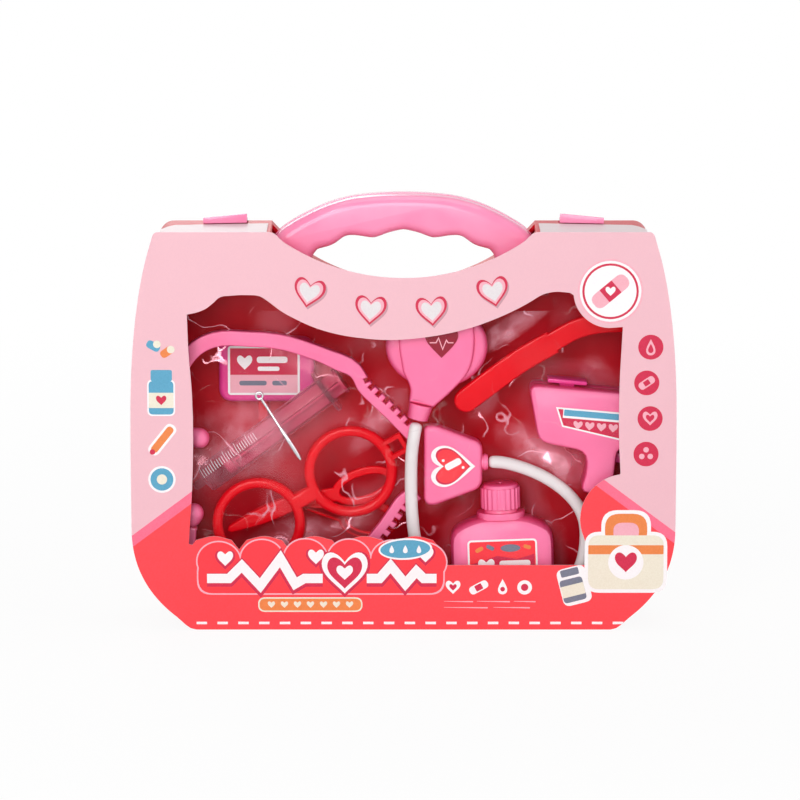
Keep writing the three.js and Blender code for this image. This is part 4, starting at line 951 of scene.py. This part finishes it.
def tub_shell():
    """The rear shell: rounded behind, hollow, with its hinge groove, panel line, screw bosses, latch
    pockets and hinge knuckles."""
    hinge = knuckles()
    hinge_y, hinge_z = hinge[0][3:]
    parting = hinge_y + GAP / 2
    _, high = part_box("rear_shell")
    walls = smooth_section("rear_shell", parting + TUB_OUTLINE)
    shell = moulding("rear_shell_moulding", walls[:1], parting, high.y)
    edit_edges(shell, lambda a, b: min(a.y, b.y) > high.y - 0.01 * MM)
    bpy.ops.mesh.bevel(offset=TUB_ROUND, segments=6, affect="EDGES", clamp_overlap=True)
    object_mode()
    hollow = moulding("hollow", walls[1:2], parting - OVER, high.y - WALL)
    groove = block((-GROOVE_REACH, parting - OVER, -OVER),
                   (GROOVE_REACH, hinge_y + GROOVE, hinge_z + KNUCKLE))
    _, handle_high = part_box("carry_handle")
    carve(shell, hollow, groove, *handle_slots(parting - OVER, handle_high.y + SLOT_GAP))
    rim = thinned(inset(thinned(walls[0], PANEL_STEP), PANEL_EDGE), PANEL_STEP)
    carve(shell, moulding("panel_line", [rim, inset(rim, PANEL_LINE)], high.y - PANEL_DEPTH, high.y + OVER))
    for name in ("left", "right"):
        screw_boss(shell, "handle_screw_" + name, handle_high.y + GAP, high.y)
        latch_pocket(shell, "latch_" + name, high.z)
    for middle, half, length, y, z in hinge:
        for end in (-1, 1):
            ends = sorted((middle + end * (length + GAP), middle + end * (half + GAP)))
            web = block((ends[0], y, FOOT_GAP), (ends[1], y + GROOVE + OVER, z))
            fused(shell, fused(rod(KNUCKLE, (ends[0], y, z), (ends[1], y, z)), web))
        carve(shell, rod(BORE, (middle - half - OVER, y, z), (middle + half + OVER, y, z)))
    return smooth(shell)


def screw_boss(shell, screw, front, back):
    """A boss behind the handle, bored for its screw, whose head sinks into the shell's back."""
    low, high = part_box(screw)
    x, z = (low.x + high.x) / 2, (low.z + high.z) / 2
    head = (high.x - low.x) / 2
    fused(shell, rod(BOSS, (x, front, z), (x, back - WALL + GAP, z)))
    carve(shell, rod(head / 2 + GAP, (x, 0, z), (x, back + OVER, z)),
          rod(head + GAP, (x, high.y - SCREW_SINK, z), (x, back + OVER, z)))


def latch_pocket(shell, latch, top):
    """Room in the shell's top for a latch to turn, between two cheeks that hold its pin."""
    low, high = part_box(latch)
    y, z = high.y - BARREL, low.z + BARREL
    carve(shell, block((low.x - GAP, y - CHEEK, z - CHEEK), (high.x + GAP, y + SWING, top + OVER)))
    for x in (low.x - GAP - CHEEK, high.x + GAP):
        fused(shell, block((x, y - CHEEK, z - CHEEK), (x + CHEEK, y + CHEEK, top - WALL / 2)))
    carve(shell, rod(LATCH_BORE, (low.x - LATCH_PIN, y, z), (high.x + LATCH_PIN, y, z)))


def handle_moulding():
    """The carry handle: a rounded bar with finger arches and a thin rib where its mould parts. Its feet
    keep the bare corners of the solid, which leave room for the rounding."""
    low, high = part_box("carry_handle")
    grip, foot_top, same_place = 46 * MM, 216 * MM, 0.01 * MM
    rib_half, rib_round, rib_proud = 0.4 * MM, 0.2 * MM, 0.25 * MM
    corners = [Vector(p) for loop in section("carry_handle") for p in loop]
    outline = [
        [p for p in loop if abs(p[0]) < grip or p[1] > foot_top
         or min((Vector(p) - q).length for q in corners) < same_place]
        for loop in smooth_section("carry_handle")]
    handle = moulding("carry_handle_moulding", outline, low.y, high.y, HANDLE_ROUND, 7)
    rib = moulding("rib", outline, -rib_half, rib_half, rib_round, 2, grow=rib_proud)
    handle = joined("carry_handle_moulding", handle, rib)
    edit_all(handle)
    bpy.ops.mesh.normals_make_consistent(inside=False)
    object_mode()
    return handle


def card_flap(name, side):
    """A flap's outline at its own height, from the card's node."""
    obj = cleaned(copied("front_card", "card_flap_" + name))
    edit_all(obj)
    for place, normal in (((0, cad_low.y + FLAP_CUT, 0), (0, 1, 0)), ((0, 0, 0), (side, 0, 0))):
        bpy.ops.mesh.select_all(action="SELECT")
        bpy.ops.mesh.bisect(plane_co=place, plane_no=normal, clear_inner=True, use_fill=True)
    object_mode()
    return smooth(obj)


def build_case():
    stands_for("front_shell", lid_shell(), "shell")
    stands_for("rear_shell", tub_shell(), "shell")
    low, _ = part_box("front_card")
    card = moulding("card_face", smooth_section("front_card", low.y + BOARD / 2), low.y, low.y + BOARD)
    stands_for("front_card", card, "card")
    for side, name in ((-1, "left"), (1, "right")):
        finished(card_flap(name, side), "lid", "flap")
    dress(frame["nodes"]["window_sheet"], "window")
    stands_for("carry_handle", handle_moulding(), "handle")
    for name in ("left", "right"):
        latch = refined("latch_" + name, "latch_%s_moulding" % name, 0.35 * MM)
        stands_for("latch_" + name, latch, "handle")
        for kind in ("latch_pin_", "hinge_pin_", "handle_screw_"):
            dress(frame["nodes"][kind + name], "zinc")


build_case()


# Print on the card: thin layers of ink, each a little prouder than the one below

INK = 0.03 * MM


def inked(name, colour, loops, face, level, step, body):
    """Outlines as one layer of ink in front of a face. Outlines that overlap are given a step, so
    that no two faces lie in one plane."""
    pieces = []
    for i, points in enumerate(loops):
        front = face - INK * (level + step * i)
        pieces.append(moulding(name, [points], front, front + INK * 1.5))
    finished(joined(name, *pieces), body, "ink_" + colour)


def ink(name, level, colour, forms, step=0.0):
    """Forms as a layer on the card: each is an outline, its place in millimetres, and its turn."""
    loops = [[(x * MM, z * MM) for x, z in moved(*form)] for form in forms]
    inked("print_" + name, colour, loops, cad_low.y, level, step, "lid")


def layer(node, name, level, colour, loops, turn=0.0):
    """Outlines in millimetres as a layer on a sticker, about its middle."""
    low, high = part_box(node)
    x, z = ((low + high) / 2).xz
    on_sticker = [moved([(px * MM, pz * MM) for px, pz in points], x, z, turn) for points in loops]
    inked(name, colour, on_sticker, low.y, level, 0, body_of(node))


def build_print():
    ink("dashes", 1, "white", [(box_outline(5.7, 1.4), -110 + 11.35 * i, 4.1) for i in range(21)])

    hearts = ((-50.9, 186.2, -0.2), (-17.8, 176.8, -0.08), (15.2, 176.2, 0.08), (48.3, 186.7, 0.2))
    for name, level, colour, size, x_off, z_off in (
            ("shadows", 1, "dusty_pink", 17, 0.8, -1.1), ("edges", 2, "crimson", 17, 0, 0),
            ("rings", 3, "rose", 14.2, 0, 0.1), ("cores", 4, "pale_grey", 11, 0, 0.1)):
        outline = heart(size, size * 0.94)
        ink("heart_" + name, level, colour, [(outline, x + x_off, z + z_off, turn) for x, z, turn in hearts])

    badge = (
        ("rim", "rose", oval(17.6), 0), ("disc", "white", oval(16.6), 0), ("ring", "crimson", oval(15.2), 0),
        ("inner", "white", oval(14), 0), ("plaster", "rose", bar(23, 8.6), 0.7),
        ("pad", "crimson", bar(8.4, 8.6, 0.6), 0.7), ("heart", "white", heart(5.4, 5), 0))
    for level, (name, colour, form, turn) in enumerate(badge, 1):
        ink("badge_" + name, level, colour, [(form, 111.4, 187.3, turn)])

    icons = ((133.4, 156.8), (131.4, 137.2), (133.4, 117.6), (131.4, 98))
    ink("icon_discs", 1, "crimson", [(oval(6.8), *place) for place in icons])
    dots = ((-2.3, -1.3), (2.3, -1.3), (0, 2.4))
    ink("icon_motifs", 2, "rose", [
        (drop(6, 9), *icons[0]), (bar(9.6, 4.2), *icons[1], 0.6), (heart(8, 7.6), *icons[2]),
        *[(oval(1.5, steps=16), icons[3][0] + x, icons[3][1] + z) for x, z in dots]])
    ink("icon_cores", 3, "crimson", [
        (drop(3.4, 5.2), icons[0][0], icons[0][1] - 0.6), (bar(3.4, 2.8, 0.4), *icons[1], 0.6),
        (heart(4.6, 4.2), *icons[2])])

    # Left margin: a round jar, capsules, a roll of tape and a thermometer stick
    ink("left_whites", 1, "white", [
        (bar(15, 20, 3), -131, 129), (oval(7.4), -131, 84), (bar(20, 6.6), -130.6, 106, 0.9)])
    ink("left_blues", 2, "blue", [
        (bar(13.4, 18.4, 2.4), -131, 129), (oval(6.2), -131, 84),
        (bar(7.8, 4.4), -135, 157.4, -0.5), (bar(11.5, 6.2, 1.2), -130.8, 141.2)], 0.1)
    ink("left_oranges", 3, "orange", [
        (bar(17, 4), -130.6, 106, 0.9), (bar(7.8, 4.4), -127.6, 154.2, 0.6)])
    ink("left_creams", 4, "cream", [
        (bar(13.4, 8.4, 0.4), -131, 127.6), (oval(2.8), -131, 84),
        (oval(2.1, steps=16), -133, 158.4), (oval(2.1, steps=16), -125.6, 155.5)])
    ink("left_reds", 5, "crimson", [(heart(5.6, 5.2), -131, 127.6), (oval(1.5), -136, 99.2)])

    # Plaque over the scalloped edge: a white pulse line between hearts
    bumps = [(-100.5, 38.6), (-77, 39.8), (-53.4, 40.2), (-29.6, 40), (-6, 39.4), (11.6, 38)]
    for name, level, colour, trim in (("line", 1, "rose", 0), ("field", 2, "red", 0.8)):
        plaque = [(oval(12.4 - trim, 11.4 - trim), x, z) for x, z in bumps]
        plaque.append((bar(135 - 2 * trim, 21 - 2 * trim, 8), -45, 30.4))
        ink("plaque_" + name, level, colour, plaque, 0.1)
    pulse = [(-107, 29), (-95, 29), (-88, 36), (-78, 25), (-67, 40), (-59, 26), (-54, 29), (-44, 29)]
    pulse_right = [(-20, 29), (-13, 29), (-7, 36), (1, 26), (7, 33), (11, 29), (18, 29)]
    small_hearts = ((-97, 40), (-47.6, 41), (12, 42))
    for name, level, colour, pen, size, fall in (
            ("shadow", 3, "crimson", 7.6, 28, 0.8), ("edge", 4, "white", 5.2, 25, 0),
            ("heart", 5, "crimson", 0, 19, 0)):
        lines = [(heart(size, size * 0.92), -32, 32 - fall)]
        if pen:
            lines += [(stroke(line, pen), 0, -fall) for line in (pulse, pulse_right)]
            lines += [(heart(pen + 3.4, pen + 3), x, z - fall) for x, z in small_hearts]
        ink("pulse_" + name, level, colour, lines, 0.1)
    ink("pulse_core", 6, "white", [(heart(9, 8), -32, 32.2)])
    ink("pill_edge", 4, "cream", [(bar(57, 8.2), -50.8, 14.4)])
    ink("pill", 5, "orange", [(bar(55.4, 6.6), -50.8, 14.4)])
    ink("pill_dots", 6, "cream", [(heart(4, 3.6), -72 + 7.1 * i, 14.4) for i in range(7)])
    ink("oval_edge", 6, "white", [(oval(14.6, 6), 1, 45.4, 0.05)])
    ink("oval", 7, "blue", [(oval(13.6, 5), 1, 45.4, 0.05)])
    ink("oval_drops", 8, "white", [(drop(3, 4.6), x, 45.4) for x in (-6.4, 1, 8.4)])

    # Lower middle: a row of small signs over two fine broken lines
    ink("signs", 1, "white", [
        (heart(8, 7.4), 27, 24), (bar(11, 4.6), 41, 24, 0.5), (drop(6, 8.6), 54, 24.4),
        (oval(4), 66, 24)])
    ink("sign_cores", 2, "crimson", [
        (heart(4, 3.6), 27, 24), (bar(4, 3.4, 0.5), 41, 24, 0.5), (oval(1.3, steps=16), 54, 23),
        (oval(2), 66, 24)])
    rows = ((16, ((30, 16), (49, 18), (66, 12))), (12.6, ((34, 24), (59, 20))))
    ink("fine_lines", 1, "rose", [(bar(width, 0.7, 0.3), x, z) for z, row in rows for x, width in row])

    # Lower right: a small doctor's bag and a jar beside it
    bag = (121, 42)
    ink("bag_white", 1, "white", [
        (bar(45, 34, 8), bag[0], bag[1] - 4), (bar(27, 22, 9), bag[0], bag[1] + 14),
        (bar(16, 21, 4), 93, 25, 0.25)], 0.1)
    for level, (name, colour, form, up) in enumerate((
            ("handle", "orange", bar(23, 18, 8), 14), ("handle_gap", "rose", bar(14, 10, 5), 13),
            ("body", "cream", bar(41, 30, 6), -4), ("band", "orange", bar(41, 5, 0.6), 3),
            ("heart_edge", "white", oval(9.6), -4), ("heart", "crimson", heart(12, 11), -4)), 2):
        ink("bag_" + name, level, colour, [(form, bag[0], bag[1] + up)])
    ink("jar", 2, "slate_grey", [
        (bar(12.6, 13, 2), 92.4, 22.6, 0.25), (bar(10, 4, 1), 90.4, 32.4, 0.25)], 0.1)
    ink("jar_label", 3, "cream", [(bar(12.6, 6.4, 0.4), 92.4, 22.4, 0.25)])


build_print()


# What the tray holds

# Places, and turns in radians, counterclockwise seen from the front
SYRINGE_START = Vector((-108.9, 3.4, 77.6)) * MM
SYRINGE_TURN = 0.64
PROBE_START = Vector((-78.6, -7.6, 126.5)) * MM
PROBE_END = Vector((-56.1, -7.6, 91.1)) * MM
GUN_TURN = -0.0873
BOTTLE_TURN = 0.035
BELL_PLACE = (-13.5 * MM, 90.9 * MM)
STUD = (-67.8 * MM, 44 * MM)

# Tray: spacing of the sheet's points, where the sheet starts and a point has missed the tray, the
# height that the skirt is taken at, and how it was stretched
TRAY_PITCH = 1.5 * MM
TRAY_START = -40 * MM
TRAY_MISSED = -30 * MM
TRAY_SKIRT = 20 * MM
TRAY_STRETCH = 22 * MM
TRAY_STRETCH_DEPTH = 1.1 * MM


def sticker(node, colour):
    """A sticker or label that keeps its node's outline and thickness."""
    stands_for(node, plate_of(node, node + "_base"), "ink_" + colour)


def formed_tray():
    """A thin sheet drawn over the CAD tray's face by casting its points back onto it, with soft
    drafted slopes instead of square walls, the skirt behind it, and a toothed snap stud."""
    low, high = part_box("blister_tray")
    width, height = high.x - low.x, high.z - low.z
    bpy.ops.object.select_all(action="DESELECT")
    bpy.ops.mesh.primitive_grid_add(
        x_subdivisions=round(width / TRAY_PITCH), y_subdivisions=round(height / TRAY_PITCH), size=1,
        location=((low.x + high.x) / 2, TRAY_START, (low.z + high.z) / 2), rotation=(math.pi / 2, 0, 0),
        scale=(width, height, 1))
    sheet = bpy.context.object
    bpy.ops.object.transform_apply(location=True, rotation=True, scale=True)
    mould = refined("blister_tray", "mould")
    modified(sheet, "SHRINKWRAP", target=mould, wrap_method="PROJECT", use_project_y=True,
             use_positive_direction=True, use_negative_direction=True, offset=0)
    bpy.data.objects.remove(mould)
    edit_edges(sheet, lambda a, b: min(a.y, b.y) < TRAY_MISSED)
    bpy.ops.mesh.select_mode(type="VERT")
    bpy.ops.mesh.delete(type="VERT")
    object_mode()
    modified(sheet, "SMOOTH", factor=0.5, iterations=3, use_x=False, use_z=False)
    clouds = bpy.data.textures.new("stretch", "CLOUDS")
    clouds.noise_scale = TRAY_STRETCH
    modified(sheet, "DISPLACE", texture=clouds, texture_coords="LOCAL", direction="Y",
             strength=TRAY_STRETCH_DEPTH, mid_level=0.45)
    outline = smooth_section("blister_tray", TRAY_SKIRT)
    skirt = moulding("skirt", [outline[0], inset(outline[0], 2 * SHEET)], low.y + OVER / 2, high.y)
    teeth = []
    for k in range(40):
        turn, reach = math.pi * k / 20, (5.2 - 0.35 * (k % 2)) * MM
        teeth.append((math.cos(turn) * reach, math.sin(turn) * reach))
    stud = moulding("stud", [moved(teeth, *STUD)], low.y - 3 * MM, low.y + OVER, 0.7 * MM)
    button = moulding("stud_top", [moved(oval(3.2 * MM), *STUD)], low.y - 4 * MM, low.y, 0.6 * MM)
    smooth(sheet, 60)
    return joined("formed_tray", sheet, skirt, stud, button)


def build_stethoscope():
    """Yoke with its bell and heart sticker, both arms and ear tips, tube and chest piece."""
    low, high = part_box("stethoscope_yoke")
    outline = smooth_section("stethoscope_yoke", high.y - 2 * MM)[:1]
    yoke = moulding("yoke", outline, low.y, high.y, 3 * MM, 6)
    steps = ((0, -4), (4.2, -4), (4.2, 1.2), (4.6, 1.4), (4.6, 2.4), (4.2, 2.6), (4.2, 3.4), (0, 3.4))
    bell = turned("bell", steps, (high.x - 3.4 * MM, *BELL_PLACE), (1, 0, 0))
    stands_for("stethoscope_yoke", joined("yoke_moulding", yoke, bell), "pink_toy")
    for name in ("upper", "lower"):
        arm, tip = "headset_arm_" + name, "ear_tip_" + name
        stands_for(arm, plate_of(arm, arm + "_moulding", 1.1 * MM, 5), "pink_toy")
        stands_for(tip, sculpted(tip, tip + "_moulding", 2, 0.12 * MM), "pink_toy")
    tube = sculpted("stethoscope_tube", "vinyl_tube", 2, 0.22 * MM)
    stands_for("stethoscope_tube", tube, "vinyl")

    low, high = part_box("chest_piece")
    outline = smooth_section("chest_piece", high.y - 2 * MM)[:1]
    head = moulding("head", outline, low.y + 3.4 * MM, high.y, 5.2 * MM, 8)
    outline = smooth_section("chest_piece", low.y + 2.4 * MM)[:1]
    panel = moulding("panel", outline, low.y, high.y - 3 * MM, 2.2 * MM, 6)
    stands_for("chest_piece", joined("chest_piece_moulding", head, panel), "pink_toy")
    stands_for("chest_diaphragm", sculpted("chest_diaphragm", "diaphragm_disc", 1), "vinyl")
    collar = refined("chest_collar", "chest_collar_moulding", 0.5 * MM)
    stands_for("chest_collar", collar, "pink_toy")

    sticker("yoke_sticker", "white")
    layer("yoke_sticker", "yoke_heart_red", 1, "crimson", [heart(20.4, 19)], math.pi / 2)
    layer("yoke_sticker", "yoke_heart_field", 2, "red", [heart(18.6, 17.2)], math.pi / 2)
    layer("yoke_sticker", "yoke_heart_motif", 3, "white", [
        moved(bar(9.6, 3.8), 0, 1.2, 0.5), moved(oval(0.8, steps=14), -5.4, 3.2),
        moved(oval(0.8, steps=14), 5.4, -0.6)])
    sticker("chest_emblem", "wine_red")
    pulse = [(-6.4, -0.4), (-3, -0.4), (-1.6, 2.2), (0.6, -4), (2.6, 1), (3.6, -0.4), (6.4, -0.4)]
    layer("chest_emblem", "chest_emblem_lines", 1, "rose", [stroke(pulse, 0.6)])


def build_red_toys():
    """Glasses, scissors, spatula and the gauge's stem: flat mouldings with rounded edges."""
    for node, edge in (
            ("glasses_frame", 2.5), ("scissors_half_upper", 1.1), ("scissors_half_lower", 1.1),
            ("spatula", 1.4), ("gauge_stem", 1.4)):
        low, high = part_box(node)
        edge_round = min(edge * MM, (high.y - low.y) * 0.45)
        stands_for(node, plate_of(node, node + "_moulding", edge_round, 6), "red_toy")
    rivet = refined("scissors_rivet", "scissors_rivet_head", 0.3 * MM)
    stands_for("scissors_rivet", rivet, "red_toy")


def build_gauge():
    """The gauge's box with its label, and the plated probe with its eye."""
    stands_for("gauge_body", plate_of("gauge_body", "gauge_box", 2.6 * MM, 6), "deep_pink")
    way = PROBE_END - PROBE_START
    length = way.length / MM
    steps = (
        (0, 1.6), (0.8, 1.8), (0.85, length * 0.5), (1.25, length * 0.53), (1.25, length - 2),
        (0.9, length), (0, length))
    stem = turned("stem", steps, PROBE_START, way, 24)
    x, y, z = PROBE_START
    eye = moulding("eye", [moved(oval(2.5 * MM), x, z), moved(oval(1.2 * MM), x, z)],
                   y - 0.9 * MM, y + 0.9 * MM, 0.45 * MM)
    stands_for("probe", joined("probe_rod", stem, eye), "chrome")
    sticker("gauge_label", "white")
    for name, level, colour, loops in (
            ("field", 1, "rose", [box_outline(37, 24.8)]),
            ("band", 2, "crimson", [moved(box_outline(37, 14.8), 0, 5)]),
            ("signs", 3, "white", [
                moved(heart(8.4, 8), -10.5, 4.4), moved(bar(17, 3.6), 4.6, 6), moved(bar(12, 2.4), 2.6, 1)]),
            ("pills", 4, "slate_grey", [moved(bar(15, 2.6), -6, -7), moved(bar(8, 2.6), 8.6, -7)])):
        layer("gauge_label", "gauge_label_" + name, level, colour, loops)


def build_syringe():
    """The syringe: its barrel turned on its axis, the finger flange, the scale and the plunger."""
    axis = Vector((math.cos(SYRINGE_TURN), 0, math.sin(SYRINGE_TURN)))
    lean = Matrix.Rotation(math.pi / 2 - SYRINGE_TURN, 4, "Y")
    profile = ((0.9, -7), (2.1, -7), (2.4, 0), (7.2, 0.2), (8, 1.4), (8, 86))
    barrel = turned("barrel", profile, SYRINGE_START, axis, 56)
    flange = moulding("flange", [bar(26 * MM, 15.6 * MM, 6.4 * MM), oval(7 * MM)], 0, 2.5 * MM, 0.7 * MM)
    upright = Matrix.Rotation(-math.pi / 2, 4, "X")
    flange.data.transform(Matrix.Translation(SYRINGE_START + axis * 84.5 * MM) @ lean @ upright)
    stands_for("syringe_barrel", joined("syringe_barrel_moulding", barrel, flange), "clear_toy")

    inner, outer, tall = 8.02 * MM, 8.08 * MM, 0.34 * MM
    corners = [(inner, 0, 0), (outer, 0, 0), (outer, 0, tall), (inner, 0, tall), (inner, 0, 0)]
    facing = lean @ Matrix.Rotation(-math.pi / 2 - 0.25, 4, "Z")
    marks = []
    for i in range(24):
        mark = line_mesh("mark", corners)
        edit_all(mark)
        bpy.ops.mesh.spin(steps=7, angle=0.95 if i % 5 == 0 else 0.6, center=(0, 0, 0), axis=(0, 0, 1))
        bpy.ops.mesh.select_all(action="SELECT")
        bpy.ops.mesh.remove_doubles(threshold=FINE_WELD)
        object_mode()
        mark.data.transform(Matrix.Translation(SYRINGE_START + axis * (1.5 + 1.55 * i) * MM) @ facing)
        marks.append(mark)
    finished(joined("syringe_scale", *marks), body_of("syringe_barrel"), "ink_white")
    plunger = refined("syringe_plunger", "plunger_moulding", 0.25 * MM, 2)
    stands_for("syringe_plunger", plunger, "milky_rose")
    stands_for("syringe_seal", refined("syringe_seal", "plunger_seal", 0.4 * MM, 2), "milky_rose")


def build_gun():
    """The thermometer gun: two shells, trigger, button, lens and its sticker's print."""
    for part, finish in (
            ("shell_front", "pink_toy"), ("shell_back", "pink_toy"), ("trigger", "deep_pink"),
            ("button", "deep_pink")):
        node = "thermometer_" + part
        stands_for(node, refined(node, node + "_moulding", 0.3 * MM, 2, 40), finish)
    stands_for("thermometer_lens", refined("thermometer_lens", "lens_disc", 0.4 * MM), "lens")
    sticker("thermometer_sticker", "white")
    low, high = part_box("thermometer_sticker")
    span = (high.x - low.x) / MM
    middle = (low + high) / 2
    field = inset(thinned(smooth_section("thermometer_sticker")[0], 1 * MM), 0.9 * MM)
    around = [((x - middle.x) / MM, (z - middle.z) / MM) for x, z in field]
    for name, level, colour, loops, turn in (
            ("red", 1, "crimson", [around], 0),
            ("line", 2, "white", [moved(bar(span - 8, 5.4, 0.4), -0.6, 5)], GUN_TURN),
            ("blue", 3, "blue", [moved(bar(span - 9, 3.4, 0.4), -0.6, 5.2)], GUN_TURN),
            ("signs", 2, "rose", [
                moved(heart(5, 4.6), -span / 2 + 12 + 6.4 * i, -1.2) for i in range(5)], GUN_TURN)):
        layer("thermometer_sticker", "gun_sticker_" + name, level, colour, loops, turn)


def build_bottle():
    """The medicine bottle, its ribbed cap and its label's print."""
    bottle = refined("bottle_body", "bottle_moulding", 0.3 * MM, 3, 50)
    stands_for("bottle_body", bottle, "pink_toy")
    cap = refined("bottle_cap", "bottle_cap_moulding", 0.35 * MM, 3, 40)
    stands_for("bottle_cap", cap, "pink_toy")
    sticker("bottle_label", "white")
    wave = [(-17.4, -10.9), (17.4, -10.9), (17.4, 4), (8, 1.4), (-3, 3.4), (-17.4, -1)]
    for name, level, colour, loops in (
            ("field", 1, "red", [bar(36, 23, 1.6)]),
            ("wave", 2, "crimson", [wave]),
            ("signs", 3, "white", [
                moved(heart(9, 8.4), -9, -2.4), moved(bar(17, 3.4), 6.6, -1),
                moved(bar(11, 2.2), 3.6, -5.4)]),
            ("orange", 3, "orange", [
                moved(bar(4.6, 2.2), -12.6, 7.2, 0.5), moved(bar(4.2, 2), 13.6, 8, -0.3)]),
            ("blue", 3, "slate_grey", [
                moved(bar(4.6, 2.2), -6.6, 8.2, -0.5), moved(oval(5.4, 2.1), 4.4, 7.6)])):
        layer("bottle_label", "bottle_label_" + name, level, colour, loops, BOTTLE_TURN)


stands_for("blister_tray", formed_tray(), "tray")
build_stethoscope()
build_red_toys()
build_gauge()
build_syringe()
build_gun()
build_bottle()
